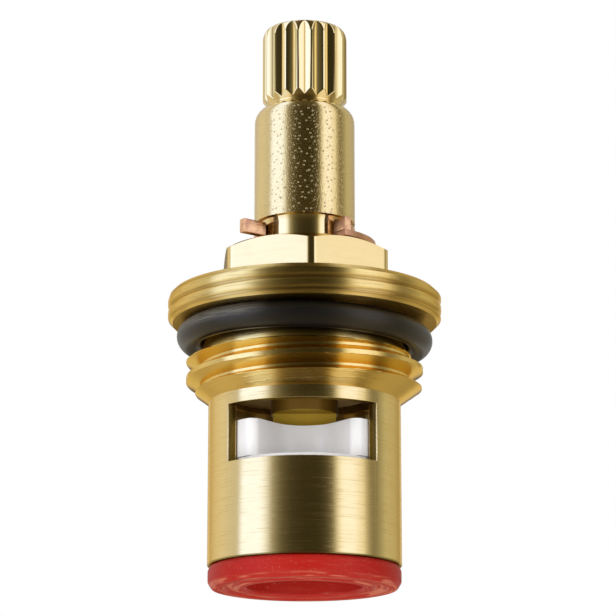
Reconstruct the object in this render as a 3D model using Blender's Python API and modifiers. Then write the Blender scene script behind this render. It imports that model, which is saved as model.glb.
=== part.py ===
"""Quarter-turn ceramic disc tap cartridge.

Metres, +Z up the spindle, origin at the centre of the inlet seal's bottom face.
The notch of the moving disc and one outlet window face -Y, which is the open position.
"""

import math

import bmesh
import bpy
from mathutils import Matrix, Vector

MM = 0.001

# Clearances between neighbours
SEAT_GAP = 0.3 * MM
RUNNING_CLEARANCE = 0.15 * MM
RUBBER_GAP = 0.2 * MM
SHIM_GAP = 0.15 * MM

# Small edges
EDGE_BREAK = 0.2 * MM
CHAMFER = 0.45 * MM

# Inlet seal and the ring that keeps it round
SEAL_PROTRUSION = 1.95 * MM
SEAL_LENGTH = 6.9 * MM
SEAL_SETBACK = 0.05 * MM
SEAL_EDGE_TAPER = 0.35 * MM
SEAL_LIP_WIDTH = 0.95 * MM
SEAL_FACE_GROOVE_DEPTH = 0.25 * MM
SEAL_BOTTOM_THICKNESS = 2.3 * MM
SEAL_SLEEVE_THICKNESS = 0.8 * MM
SUPPORT_RING_WALL = 1.1 * MM

# Ceramic discs
FIXED_DISC_THICKNESS = 3.5 * MM
DISC_EAR_HALF_ANGLE = 9.0
DISC_KEYWAY_DEPTH = 0.4 * MM
DISC_KEYWAY_HALF_ANGLE = 11.5
PORT_INNER_RADIUS = 2.4 * MM
PORT_HALF_ANGLE = 36.0
MOVING_DISC_THICKNESS = 3.0 * MM
MOVING_DISC_WAIST_WALL = 1.05 * MM
NOTCH_FILLET = 3.0 * MM
NOTCH_FLANK_ANGLE = 45.0
LOBE_TIP_RADIUS = 0.9 * MM
DISC_EDGE_BEVEL = 0.12 * MM

# Body, from the barrel up to the hexagon
BARREL_RADIUS = 8.45 * MM
BARREL_WALL = 0.9 * MM
THREAD_RADIUS = 10.4 * MM
THREAD_LENGTH = 4.15 * MM
THREAD_LEAD_IN = 1.4 * MM
THREAD_PITCH = 1.814 * MM
THREAD_DEPTH = 1.1 * MM
THREAD_CREST_WIDTH = 0.25 * MM
THREAD_ROOT_WIDTH = 0.3 * MM
THREAD_FIRST_CREST = 0.68 * MM
BODY_RING_GROOVE_DEPTH = 1.6 * MM
BODY_RING_PLAY = 0.7 * MM
FLANGE_RADIUS = 12.1 * MM
FLANGE_THICKNESS = 2.65 * MM
HEX_ACROSS_FLATS = 14.1 * MM
HEX_HEIGHT = 3.9 * MM
HEX_CORNER_TURNED_OFF = 0.14 * MM
HEX_CHAMFER_ANGLE = 30.0
HEX_TURN = 4.0

# Outlet windows, opposite each other, cut through the barrel
WINDOW_BELOW_SEAM = 0.45 * MM
WINDOW_HEADROOM = 1.25 * MM
WINDOW_HALF_ANGLE = 53.0

# Quarter-turn stop inside the body
TRAVEL = 90.0
STOP_RIB_ANGLE = 40.0
STOP_SLACK = 2.5

# Spindle
STEM_RADIUS = 4.5 * MM
STEM_LENGTH = 10.75 * MM
STEM_CHAMFER = 0.85 * MM
NECK_GROOVE_DEPTH = 0.7 * MM
NECK_GROOVE_DROP = 0.45 * MM
HEAD_RADIUS = 3.83 * MM
HEAD_LENGTH = 6.95 * MM
HEAD_UNDERCUT_WIDTH = 0.55 * MM
HEAD_UNDERCUT_BELOW_ROOT = 0.05 * MM
HEAD_DOME_WIDTH = 0.58 * MM
HEAD_DOME_HEIGHT = 1.15 * MM
HEAD_BEVEL = 0.4 * MM
SPLINE_TEETH = 20
SPLINE_DEPTH = 0.33 * MM
SPLINE_CREST_ANGLE = 0.9
SCREW_HOLE_RADIUS = 2.1 * MM
SCREW_HOLE_DEPTH = 9.0 * MM
SCREW_HOLE_COUNTERSINK = 0.4 * MM
FOOT_REACH = 1.2 * MM
FOOT_THICKNESS = 2.3 * MM
FOOT_CLEARANCE = 0.25 * MM
LOBE_RELIEF = 0.15 * MM
JOURNAL_LENGTH = 1.7 * MM
TANG_LENGTH = 5.5 * MM
TANG_THICKNESS = 2.0 * MM
TANG_ENGAGEMENT = 1.3 * MM
TANG_EXPOSED = 1.3 * MM
TANG_CORNER_INSET = 0.02 * MM

# Rings of rubber
SPINDLE_RING_SECTION = 1.24 * MM
SPINDLE_RING_GROOVE_WIDTH = 1.7 * MM
SPINDLE_RING_PITCH = 3.4 * MM
SPINDLE_RING_DROP = 3.05 * MM
BODY_RING_SECTION = 2.3 * MM

# Washers and clip
FRICTION_WASHER_THICKNESS = 0.6 * MM
SLIP_WASHER_THICKNESS = 0.55 * MM
SLIP_WASHER_WIDTH = 2.25 * MM
SLIP_WASHER_MOUTH = -32.0
SLIP_WASHER_MOUTH_HALF = 66.0
CLIP_HEIGHT = 1.3 * MM
CLIP_STRIP = 0.7 * MM
CLIP_BEND_RADIUS = 0.4 * MM
CLIP_LEFT_EAR_ANGLE = -53.0
CLIP_RIGHT_EAR_ANGLE = 37.0
CLIP_LEFT_EAR_LENGTH = 2.75 * MM
CLIP_RIGHT_EAR_LENGTH = 1.75 * MM

# Facets of round pieces
BODY_STEPS = 48
SPINDLE_STEPS = 40
RING_SECTION_STEPS = 8

# Heights that follow, stacked from the valve seat upwards
BARREL_BOTTOM = SEAL_PROTRUSION
FIXED_DISC_BOTTOM = SEAL_LENGTH + SEAT_GAP
FIXED_DISC_TOP = FIXED_DISC_BOTTOM + FIXED_DISC_THICKNESS
MOVING_DISC_BOTTOM = FIXED_DISC_TOP + SEAT_GAP
MOVING_DISC_TOP = MOVING_DISC_BOTTOM + MOVING_DISC_THICKNESS
WINDOW_BOTTOM = FIXED_DISC_TOP - WINDOW_BELOW_SEAM
WINDOW_TOP = MOVING_DISC_TOP + WINDOW_HEADROOM
TANG_BOTTOM = MOVING_DISC_TOP - TANG_ENGAGEMENT
JOURNAL_BOTTOM = MOVING_DISC_TOP + TANG_EXPOSED
FOOT_BOTTOM = JOURNAL_BOTTOM + JOURNAL_LENGTH
FOOT_TOP = FOOT_BOTTOM + FOOT_THICKNESS
STOP_RIB_BOTTOM = FOOT_BOTTOM - EDGE_BREAK
STOP_POCKET_TOP = FOOT_TOP + SEAT_GAP
FRICTION_WASHER_BOTTOM = FOOT_TOP + SEAT_GAP
FRICTION_WASHER_TOP = FRICTION_WASHER_BOTTOM + FRICTION_WASHER_THICKNESS
BORE_CEILING = FRICTION_WASHER_TOP + SEAT_GAP
THREAD_TOP = BORE_CEILING
THREAD_BOTTOM = THREAD_TOP - THREAD_LENGTH
FLANGE_BOTTOM = THREAD_TOP + BODY_RING_SECTION + BODY_RING_PLAY
FLANGE_TOP = FLANGE_BOTTOM + FLANGE_THICKNESS
HEX_TOP = FLANGE_TOP + HEX_HEIGHT
SLIP_WASHER_BOTTOM = HEX_TOP + SEAT_GAP
SLIP_WASHER_TOP = SLIP_WASHER_BOTTOM + SLIP_WASHER_THICKNESS
CLIP_BOTTOM = SLIP_WASHER_TOP + SHIM_GAP
CLIP_TOP = CLIP_BOTTOM + CLIP_HEIGHT
STEM_SHOULDER = CLIP_TOP + SEAT_GAP
STEM_TOP = STEM_SHOULDER + STEM_LENGTH
HEAD_BOTTOM = STEM_TOP + HEAD_UNDERCUT_WIDTH
SPINDLE_TOP = HEAD_BOTTOM + HEAD_LENGTH

# Radii that follow
BARREL_BORE_RADIUS = BARREL_RADIUS - BARREL_WALL
FIXED_DISC_RADIUS = BARREL_BORE_RADIUS - SEAT_GAP
MOVING_DISC_RADIUS = BARREL_BORE_RADIUS - RUBBER_GAP
MOVING_DISC_WAIST = TANG_THICKNESS + 2 * (RUNNING_CLEARANCE + MOVING_DISC_WAIST_WALL)
THREAD_ROOT_RADIUS = THREAD_RADIUS - THREAD_DEPTH
BODY_RING_GROOVE_RADIUS = THREAD_RADIUS - BODY_RING_GROOVE_DEPTH
HEX_FULL_CORNER_RADIUS = HEX_ACROSS_FLATS / 2 / math.cos(math.radians(30.0))
HEX_CORNER_RADIUS = HEX_FULL_CORNER_RADIUS - HEX_CORNER_TURNED_OFF
SPINDLE_BORE_RADIUS = STEM_RADIUS + RUNNING_CLEARANCE
NECK_RADIUS = STEM_RADIUS - NECK_GROOVE_DEPTH
SPLINE_ROOT_RADIUS = HEAD_RADIUS - SPLINE_DEPTH
FOOT_RADIUS = STEM_RADIUS + FOOT_REACH
STOP_BORE_RADIUS = FOOT_RADIUS + FOOT_CLEARANCE
STOP_POCKET_RADIUS = BARREL_BORE_RADIUS - EDGE_BREAK
LOBE_RADIUS = STOP_POCKET_RADIUS - RUNNING_CLEARANCE
JOURNAL_RADIUS = math.hypot(TANG_LENGTH, TANG_THICKNESS) / 2 + TANG_CORNER_INSET
SPINDLE_RING_GROOVE_RADIUS = SPINDLE_BORE_RADIUS - SPINDLE_RING_SECTION - 2 * RUBBER_GAP
SEAL_RADIUS = BARREL_RADIUS - SEAL_SETBACK
SEAL_FACE_RADIUS = SEAL_RADIUS - SEAL_EDGE_TAPER
SEAL_SLEEVE_RADIUS = BARREL_BORE_RADIUS - RUBBER_GAP
SEAL_POCKET_RADIUS = SEAL_SLEEVE_RADIUS - SEAL_SLEEVE_THICKNESS
SUPPORT_RING_RADIUS = SEAL_POCKET_RADIUS - RUBBER_GAP
SUPPORT_RING_BORE_RADIUS = SUPPORT_RING_RADIUS - SUPPORT_RING_WALL
SEAL_BORE_RADIUS = SUPPORT_RING_BORE_RADIUS - EDGE_BREAK
PORT_OUTER_RADIUS = SEAL_BORE_RADIUS + EDGE_BREAK
CLIP_BORE_RADIUS = NECK_RADIUS + SEAT_GAP
SLIP_WASHER_BORE_RADIUS = NECK_RADIUS + SEAT_GAP
SLIP_WASHER_RADIUS = SLIP_WASHER_BORE_RADIUS + SLIP_WASHER_WIDTH

BRASS = (0.80, 0.62, 0.28, 1.0)
COPPER = (0.72, 0.40, 0.28, 1.0)
BLACK_RUBBER = (0.02, 0.02, 0.022, 1.0)
RED_RUBBER = (0.62, 0.03, 0.02, 1.0)
WHITE_CERAMIC = (0.86, 0.86, 0.88, 1.0)
WHITE_PLASTIC = (0.80, 0.79, 0.75, 1.0)


def clear_scene():
    for old in list(bpy.data.objects):
        bpy.data.objects.remove(old, do_unlink=True)


def new_collection(name):
    collection = bpy.data.collections.new(name)
    bpy.context.scene.collection.children.link(collection)
    return collection


def finish(obj, colour, roughness, metallic):
    """Give a piece its own Principled material."""
    material = bpy.data.materials.new(obj.name)
    material.use_nodes = True
    shader = material.node_tree.nodes["Principled BSDF"]
    shader.inputs["Base Color"].default_value = colour
    shader.inputs["Roughness"].default_value = roughness
    shader.inputs["Metallic"].default_value = metallic
    material.diffuse_color = colour
    obj.data.materials.clear()
    obj.data.materials.append(material)


def mark_cutter(obj):
    obj.hide_render = True
    obj.display_type = "WIRE"


def turned(name, profile, steps, collection, closed=True):
    """Turn a profile of (radius, height) points about Z.

    The points run down the outer side, so that the skin faces out. An open profile
    starts and ends on the axis.
    """
    points = [(radius, 0.0, height) for radius, height in profile]
    edges = [(i, i + 1) for i in range(len(points) - 1)]
    if closed:
        edges.append((len(points) - 1, 0))
    mesh = bpy.data.meshes.new(name)
    mesh.from_pydata(points, edges, [])
    obj = bpy.data.objects.new(name, mesh)
    collection.objects.link(obj)
    screw = obj.modifiers.new("turning", "SCREW")
    screw.axis = "Z"
    screw.angle = math.tau
    screw.steps = steps
    screw.render_steps = steps
    screw.use_merge_vertices = True
    screw.merge_threshold = 0.00001
    screw.use_smooth_shade = True
    return obj


def prism(name, outlines, bottom, top, collection):
    """Extrude flat outlines, each inside or beside the first, into one closed mesh."""
    curve = bpy.data.curves.new(name, "CURVE")
    curve.dimensions = "2D"
    curve.fill_mode = "BOTH"
    curve.extrude = (top - bottom) / 2
    for outline in outlines:
        spline = curve.splines.new("POLY")
        spline.points.add(len(outline) - 1)
        for point, (x, y) in zip(spline.points, outline):
            point.co = (x, y, 0.0, 1.0)
        spline.use_cyclic_u = True
    flat = bpy.data.objects.new(name + "_outline", curve)
    collection.objects.link(flat)
    bpy.context.view_layer.update()
    evaluated = flat.evaluated_get(bpy.context.evaluated_depsgraph_get())
    mesh = bpy.data.meshes.new_from_object(evaluated)
    mesh.name = name
    work = bmesh.new()
    work.from_mesh(mesh)
    bmesh.ops.remove_doubles(work, verts=work.verts, dist=0.000001)
    bmesh.ops.recalc_face_normals(work, faces=work.faces)
    work.to_mesh(mesh)
    work.free()
    bpy.data.objects.remove(flat, do_unlink=True)
    obj = bpy.data.objects.new(name, mesh)
    obj.location.z = (bottom + top) / 2
    collection.objects.link(obj)
    return obj


def block(name, size, bottom, collection):
    """A box of the given size, centred on the axis, standing on a height."""
    mesh = bpy.data.meshes.new(name)
    work = bmesh.new()
    bmesh.ops.create_cube(work, size=1.0)
    bmesh.ops.scale(work, vec=size, verts=work.verts)
    work.to_mesh(mesh)
    work.free()
    obj = bpy.data.objects.new(name, mesh)
    obj.location.z = bottom + size[2] / 2
    collection.objects.link(obj)
    return obj


def rubber_ring(name, inner_radius, section, height, steps, collection):
    """A round ring of rubber, from a torus lying flat at a height."""
    bpy.ops.mesh.primitive_torus_add(
        major_segments=steps,
        minor_segments=RING_SECTION_STEPS,
        major_radius=inner_radius + section / 2,
        minor_radius=section / 2,
        location=(0.0, 0.0, height),
    )
    obj = bpy.context.active_object
    obj.name = name
    obj.data.name = name
    for owner in list(obj.users_collection):
        owner.objects.unlink(obj)
    collection.objects.link(obj)
    obj.data.shade_smooth()
    return obj


def combine(obj, other, operation, label):
    """Cut, join or trim a piece with another, which stays as a hidden guide."""
    mark_cutter(other)
    step = obj.modifiers.new(label, "BOOLEAN")
    step.object = other
    step.operation = operation
    step.solver = "EXACT"


def polar(radius, degrees):
    """A point by its angle from the front, -Y, growing towards +X."""
    angle = math.radians(degrees)
    return (radius * math.sin(angle), -radius * math.cos(angle))


def arc(radius, start, end, count):
    """Points of an arc about the axis, angles from the front in degrees."""
    return [polar(radius, start + (end - start) * i / count) for i in range(count + 1)]


def round_corner(centre, radius, start, end, count):
    """Points of a small arc about its own centre, plain angles in radians."""
    points = []
    for i in range(count + 1):
        angle = start + (end - start) * i / count
        points.append((centre[0] + radius * math.cos(angle), centre[1] + radius * math.sin(angle)))
    return points


def sector(inner, outer, middle, half_angle, count=8):
    """Outline of a ring sector about an angle from the front."""
    outside = arc(outer, middle - half_angle, middle + half_angle, count)
    inside = arc(inner, middle + half_angle, middle - half_angle, count)
    return outside + inside


def opposite_sectors(inner, outer, middle, half_angle):
    return [sector(inner, outer, middle, half_angle), sector(inner, outer, middle + 180.0, half_angle)]


def opposite(points):
    return [(-x, -y) for x, y in points]


def body_profile():
    chamfer_radius = HEX_ACROSS_FLATS / 2 - HEX_CORNER_TURNED_OFF / 2
    chamfer_drop = (HEX_CORNER_RADIUS - chamfer_radius) * math.tan(math.radians(HEX_CHAMFER_ANGLE))
    return [
        (SPINDLE_BORE_RADIUS + CHAMFER, HEX_TOP),
        (chamfer_radius, HEX_TOP),
        (HEX_CORNER_RADIUS, HEX_TOP - chamfer_drop),
        (HEX_CORNER_RADIUS, FLANGE_TOP),
        (FLANGE_RADIUS - CHAMFER, FLANGE_TOP),
        (FLANGE_RADIUS, FLANGE_TOP - CHAMFER),
        (FLANGE_RADIUS, FLANGE_BOTTOM + CHAMFER),
        (FLANGE_RADIUS - CHAMFER, FLANGE_BOTTOM),
        (BODY_RING_GROOVE_RADIUS, FLANGE_BOTTOM),
        (BODY_RING_GROOVE_RADIUS, THREAD_TOP),
        (THREAD_RADIUS - CHAMFER, THREAD_TOP),
        (THREAD_RADIUS, THREAD_TOP - CHAMFER),
        (THREAD_RADIUS, THREAD_BOTTOM + THREAD_LEAD_IN),
        (BARREL_RADIUS, THREAD_BOTTOM),
        (BARREL_RADIUS, BARREL_BOTTOM + EDGE_BREAK),
        (BARREL_RADIUS - EDGE_BREAK, BARREL_BOTTOM),
        (BARREL_BORE_RADIUS + EDGE_BREAK, BARREL_BOTTOM),
        (BARREL_BORE_RADIUS, BARREL_BOTTOM + EDGE_BREAK),
        (BARREL_BORE_RADIUS, STOP_RIB_BOTTOM),
        (STOP_BORE_RADIUS, STOP_RIB_BOTTOM),
        (STOP_BORE_RADIUS, BORE_CEILING),
        (SPINDLE_BORE_RADIUS + EDGE_BREAK, BORE_CEILING),
        (SPINDLE_BORE_RADIUS, BORE_CEILING + EDGE_BREAK),
        (SPINDLE_BORE_RADIUS, HEX_TOP - CHAMFER),
    ]


def hexagon_points():
    return [polar(HEX_FULL_CORNER_RADIUS, HEX_TURN + 60.0 * i) for i in range(6)]


def thread_groove(collection):
    """Groove between the crests of the right-hand thread, as one closed helical bar.

    The section is widened past the crests by the slope of its flanks. The bar starts and
    ends more than half a pitch beyond the threaded length, clear of the metal.
    """
    slope = (THREAD_PITCH - THREAD_CREST_WIDTH - THREAD_ROOT_WIDTH) / 2 / THREAD_DEPTH
    past_crest = THREAD_DEPTH / 4
    half_root = THREAD_ROOT_WIDTH / 2
    half_mouth = half_root + slope * (THREAD_DEPTH + past_crest)
    front_height = THREAD_BOTTOM + THREAD_FIRST_CREST + THREAD_PITCH / 2
    run_out = half_mouth + EDGE_BREAK
    advance = THREAD_PITCH / BODY_STEPS
    steps_below = math.ceil((front_height - THREAD_BOTTOM + run_out) / advance)
    steps_above = math.ceil((THREAD_TOP - front_height + run_out) / advance)
    step_angle = math.tau / BODY_STEPS
    section = [
        (THREAD_ROOT_RADIUS, half_root),
        (THREAD_ROOT_RADIUS, -half_root),
        (THREAD_RADIUS + past_crest, -half_mouth),
        (THREAD_RADIUS + past_crest, half_mouth),
    ]
    work = bmesh.new()
    start_height = front_height - steps_below * advance
    corners = [work.verts.new((0.0, -radius, start_height + offset)) for radius, offset in section]
    face = work.faces.new(corners)
    turn_back = Matrix.Rotation(-steps_below * step_angle, 3, "Z")
    bmesh.ops.rotate(work, cent=(0.0, 0.0, 0.0), matrix=turn_back, verts=corners)
    bmesh.ops.spin(
        work,
        geom=[face] + list(face.edges) + corners,
        cent=(0.0, 0.0, 0.0),
        axis=(0.0, 0.0, 1.0),
        dvec=(0.0, 0.0, advance),
        angle=(steps_below + steps_above) * step_angle,
        steps=steps_below + steps_above,
    )
    bmesh.ops.recalc_face_normals(work, faces=work.faces)
    mesh = bpy.data.meshes.new("thread_groove")
    work.to_mesh(mesh)
    work.free()
    groove = bpy.data.objects.new("thread_groove", mesh)
    collection.objects.link(groove)
    return groove


def make_body(parts, cutters):
    """Body: hexagon, flange, threaded length and the barrel with its two windows."""
    body = turned("body", body_profile(), BODY_STEPS, parts)
    combine(body, thread_groove(cutters), "DIFFERENCE", "thread")
    surround = arc(HEX_CORNER_RADIUS + FLANGE_THICKNESS, 0.0, 345.0, 23)
    flats = prism("hexagon_flats", [surround, hexagon_points()], FLANGE_TOP, HEX_TOP + HEX_HEIGHT, cutters)
    combine(body, flats, "DIFFERENCE", "hexagon")
    past_wall = BARREL_WALL
    windows = prism(
        "window_cut",
        opposite_sectors(BARREL_BORE_RADIUS - past_wall, BARREL_RADIUS + past_wall, 0.0, WINDOW_HALF_ANGLE),
        WINDOW_BOTTOM,
        WINDOW_TOP,
        cutters,
    )
    combine(body, windows, "DIFFERENCE", "windows")
    pocket_half_angle = (180.0 - STOP_RIB_ANGLE) / 2
    pockets = prism(
        "stop_pocket_cut",
        opposite_sectors(STOP_BORE_RADIUS - EDGE_BREAK, STOP_POCKET_RADIUS, 0.0, pocket_half_angle),
        STOP_RIB_BOTTOM - EDGE_BREAK,
        STOP_POCKET_TOP,
        cutters,
    )
    combine(body, pockets, "DIFFERENCE", "stop pockets")
    keyways = prism(
        "keyway_cut",
        opposite_sectors(
            BARREL_BORE_RADIUS - DISC_KEYWAY_DEPTH,
            BARREL_BORE_RADIUS + DISC_KEYWAY_DEPTH,
            90.0,
            DISC_KEYWAY_HALF_ANGLE,
        ),
        BARREL_BOTTOM - EDGE_BREAK,
        FIXED_DISC_TOP + EDGE_BREAK,
        cutters,
    )
    combine(body, keyways, "DIFFERENCE", "keyways")
    finish(body, BRASS, 0.28, 1.0)
    return body


def spindle_ring_heights():
    """Middle heights of the two rings on the spindle, the upper one first."""
    upper = HEX_TOP - SPINDLE_RING_DROP
    return (upper, upper - SPINDLE_RING_PITCH)


def spindle_profile():
    dome_steps = 3
    dome = []
    for i in range(dome_steps + 1):
        angle = math.radians(90.0 * (1 - i / dome_steps))
        radius = HEAD_RADIUS - HEAD_DOME_WIDTH * (1 - math.cos(angle))
        height = SPINDLE_TOP - HEAD_DOME_HEIGHT + HEAD_DOME_HEIGHT * math.sin(angle)
        dome.append((radius, height))
    hole_bottom = SPINDLE_TOP - SCREW_HOLE_DEPTH
    undercut_radius = SPLINE_ROOT_RADIUS - HEAD_UNDERCUT_BELOW_ROOT
    points = [
        (0.0, hole_bottom - SCREW_HOLE_RADIUS / 2),
        (SCREW_HOLE_RADIUS, hole_bottom),
        (SCREW_HOLE_RADIUS, SPINDLE_TOP - SCREW_HOLE_COUNTERSINK),
        (SCREW_HOLE_RADIUS + SCREW_HOLE_COUNTERSINK, SPINDLE_TOP),
    ]
    points += dome
    points += [
        (HEAD_RADIUS, HEAD_BOTTOM + HEAD_BEVEL),
        (undercut_radius, HEAD_BOTTOM),
        (undercut_radius, STEM_TOP),
        (STEM_RADIUS - STEM_CHAMFER, STEM_TOP),
        (STEM_RADIUS, STEM_TOP - STEM_CHAMFER),
        (STEM_RADIUS, STEM_SHOULDER),
        (NECK_RADIUS, STEM_SHOULDER),
        (NECK_RADIUS, HEX_TOP - NECK_GROOVE_DROP),
        (STEM_RADIUS, HEX_TOP - NECK_GROOVE_DROP),
    ]
    for height in spindle_ring_heights():
        groove_top = height + SPINDLE_RING_GROOVE_WIDTH / 2
        groove_bottom = height - SPINDLE_RING_GROOVE_WIDTH / 2
        points += [
            (STEM_RADIUS, groove_top),
            (SPINDLE_RING_GROOVE_RADIUS, groove_top),
            (SPINDLE_RING_GROOVE_RADIUS, groove_bottom),
            (STEM_RADIUS, groove_bottom),
        ]
    points += [
        (STEM_RADIUS, FOOT_TOP),
        (FOOT_RADIUS, FOOT_TOP),
        (FOOT_RADIUS, FOOT_BOTTOM),
        (JOURNAL_RADIUS, FOOT_BOTTOM),
        (JOURNAL_RADIUS, JOURNAL_BOTTOM),
        (0.0, JOURNAL_BOTTOM),
    ]
    return points


def spline_outline():
    """Star outline of the head: V valleys at even pitch, one of them facing the front."""
    pitch = 360.0 / SPLINE_TEETH
    past_crest = (HEAD_RADIUS - SPLINE_ROOT_RADIUS) / 20
    points = []
    for tooth in range(SPLINE_TEETH):
        valley = tooth * pitch
        points.append(polar(SPLINE_ROOT_RADIUS, valley))
        points.append(polar(HEAD_RADIUS + past_crest, valley + pitch / 2 - SPLINE_CREST_ANGLE))
        points.append(polar(HEAD_RADIUS + past_crest, valley + pitch / 2 + SPLINE_CREST_ANGLE))
    return points


def make_spindle(parts, cutters):
    """Spindle: splined head, stem, neck, ring grooves, stop lobes and drive tang."""
    spindle = turned("spindle", spindle_profile(), SPINDLE_STEPS, parts, closed=False)
    surround = arc(STEM_RADIUS + STEM_CHAMFER, 0.0, 345.0, 23)
    valleys = prism(
        "spline_cut",
        [surround, spline_outline()],
        HEAD_BOTTOM - HEAD_UNDERCUT_WIDTH / 2,
        SPINDLE_TOP + HEAD_BEVEL,
        cutters,
    )
    combine(spindle, valleys, "DIFFERENCE", "spline")
    lobe_half_angle = (180.0 - STOP_RIB_ANGLE - TRAVEL) / 2 - STOP_SLACK
    lobe_middle = 90.0 - STOP_RIB_ANGLE / 2 - STOP_SLACK - lobe_half_angle
    lobes = prism(
        "stop_lobes",
        opposite_sectors(STEM_RADIUS, LOBE_RADIUS, lobe_middle, lobe_half_angle),
        FOOT_BOTTOM + LOBE_RELIEF,
        FOOT_TOP - LOBE_RELIEF,
        cutters,
    )
    combine(spindle, lobes, "UNION", "stop lobes")
    tang_height = JOURNAL_BOTTOM - TANG_BOTTOM + SEAT_GAP
    tang = block("drive_tang", (TANG_LENGTH, TANG_THICKNESS, tang_height), TANG_BOTTOM, cutters)
    combine(spindle, tang, "UNION", "drive tang")
    finish(spindle, BRASS, 0.3, 1.0)
    return spindle


def make_spindle_rings(parts):
    """Two rings of rubber in the spindle's grooves."""
    inner = SPINDLE_RING_GROOVE_RADIUS + RUBBER_GAP
    names = ("spindle_o_ring_upper", "spindle_o_ring_lower")
    for name, height in zip(names, spindle_ring_heights()):
        ring = rubber_ring(name, inner, SPINDLE_RING_SECTION, height, SPINDLE_STEPS, parts)
        finish(ring, BLACK_RUBBER, 0.5, 0.0)


def make_body_ring(parts):
    """The large ring of rubber under the flange."""
    height = FLANGE_BOTTOM - RUBBER_GAP - BODY_RING_SECTION / 2
    inner = BODY_RING_GROOVE_RADIUS + RUBBER_GAP
    ring = rubber_ring("body_o_ring", inner, BODY_RING_SECTION, height, BODY_STEPS, parts)
    finish(ring, BLACK_RUBBER, 0.45, 0.0)


def ring_profile(inner, outer, bottom, top):
    return [(inner, top), (outer, top), (outer, bottom), (inner, bottom)]


def make_friction_washer(parts):
    """Thin washer between the spindle's foot and the body, sealed inside."""
    inner = STEM_RADIUS + RUBBER_GAP
    profile = ring_profile(inner, FOOT_RADIUS, FRICTION_WASHER_BOTTOM, FRICTION_WASHER_TOP)
    washer = turned("friction_washer", profile, SPINDLE_STEPS, parts)
    finish(washer, WHITE_PLASTIC, 0.5, 0.0)


def make_slip_washer(parts):
    """Open washer that lies on the hexagon and slips over the neck from one side."""
    start = SLIP_WASHER_MOUTH + SLIP_WASHER_MOUTH_HALF
    end = SLIP_WASHER_MOUTH + 360.0 - SLIP_WASHER_MOUTH_HALF
    outline = arc(SLIP_WASHER_RADIUS, start, end, 28) + arc(SLIP_WASHER_BORE_RADIUS, end, start, 20)
    washer = prism("slip_washer", [outline], SLIP_WASHER_BOTTOM, SLIP_WASHER_TOP, parts)
    finish(washer, COPPER, 0.35, 1.0)


def clip_ear(angle, length, side):
    """Outer and inner edge points of one ear, from its tip towards the ring.

    The ear stands out from the ring along a radius; side is +1 where the ring goes on
    towards growing angles and -1 where it goes on the other way.
    """
    outward = Vector(polar(1.0, angle))
    along = Vector(polar(1.0, angle + 90.0)) * side
    tip = outward * (CLIP_BORE_RADIUS + length)
    inner_edge = [tip, outward * (CLIP_BORE_RADIUS + CLIP_BEND_RADIUS)]
    root = outward * (CLIP_BORE_RADIUS + CLIP_STRIP) + along * CLIP_STRIP
    outer_edge = [tip + along * CLIP_STRIP, root + outward * CLIP_BEND_RADIUS]
    return inner_edge, outer_edge


def clip_outline():
    """Ring of flat strip, open at the front, with both ends turned outwards."""
    right_inner, right_outer = clip_ear(CLIP_RIGHT_EAR_ANGLE, CLIP_RIGHT_EAR_LENGTH, 1)
    left_inner, left_outer = clip_ear(CLIP_LEFT_EAR_ANGLE, CLIP_LEFT_EAR_LENGTH, -1)
    ring_outer = CLIP_BORE_RADIUS + CLIP_STRIP
    bend = math.degrees(CLIP_BEND_RADIUS / CLIP_BORE_RADIUS)
    shank = math.degrees((CLIP_STRIP + CLIP_BEND_RADIUS) / ring_outer)
    start = CLIP_RIGHT_EAR_ANGLE
    end = CLIP_LEFT_EAR_ANGLE + 360.0
    outside = arc(ring_outer, start + shank, end - shank, 24)
    inside = arc(CLIP_BORE_RADIUS, end - bend, start + bend, 24)
    points = [tuple(p) for p in right_inner[::-1] + right_outer]
    points += outside
    points += [tuple(p) for p in left_outer[::-1] + left_inner]
    points += inside
    return points


def make_retaining_clip(parts):
    """Clip in the neck, under the shoulder of the stem, that keeps the spindle in."""
    clip = prism("retaining_clip", [clip_outline()], CLIP_BOTTOM, CLIP_TOP, parts)
    finish(clip, COPPER, 0.3, 1.0)


def notch_points():
    """Front notch of the moving disc, from its left lobe tip to its right one."""
    flank = math.radians(NOTCH_FLANK_ANGLE)
    along = Vector((math.sin(flank), -math.cos(flank)))
    into_lobe = Vector((math.cos(flank), math.sin(flank)))
    fillet_centre = Vector((0.0, -(MOVING_DISC_WAIST / 2 + NOTCH_FILLET)))
    foot = fillet_centre + into_lobe * NOTCH_FILLET
    reach = MOVING_DISC_RADIUS - LOBE_TIP_RADIUS
    base = foot + into_lobe * LOBE_TIP_RADIUS
    half_b = base.dot(along)
    run = -half_b + math.sqrt(half_b * half_b - base.dot(base) + reach * reach)
    tip_centre = base + along * run
    rim_angle = math.atan2(tip_centre.y, tip_centre.x)
    flank_angle = math.atan2(-into_lobe.y, -into_lobe.x)
    tip = round_corner(tip_centre, LOBE_TIP_RADIUS, flank_angle, rim_angle, 4)
    bottom_start = math.pi / 2 + (math.pi / 2 - flank)
    bottom = round_corner(fillet_centre, NOTCH_FILLET, bottom_start, math.pi - bottom_start, 6)
    left_tip = [(-x, y) for x, y in tip[::-1]]
    return left_tip + bottom + tip


def moving_disc_outline():
    front = notch_points()
    tip_x, tip_y = front[-1]
    rim_angle = math.degrees(math.atan2(tip_x, -tip_y))
    right_rim = arc(MOVING_DISC_RADIUS, rim_angle, 180.0 - rim_angle, 12)
    half = front + right_rim[1:-1]
    return half + opposite(half)


def add_edge_bevel(obj, width):
    bevel = obj.modifiers.new("edge bevel", "BEVEL")
    bevel.width = width
    bevel.segments = 1
    bevel.limit_method = "ANGLE"
    bevel.angle_limit = math.radians(50.0)


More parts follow.
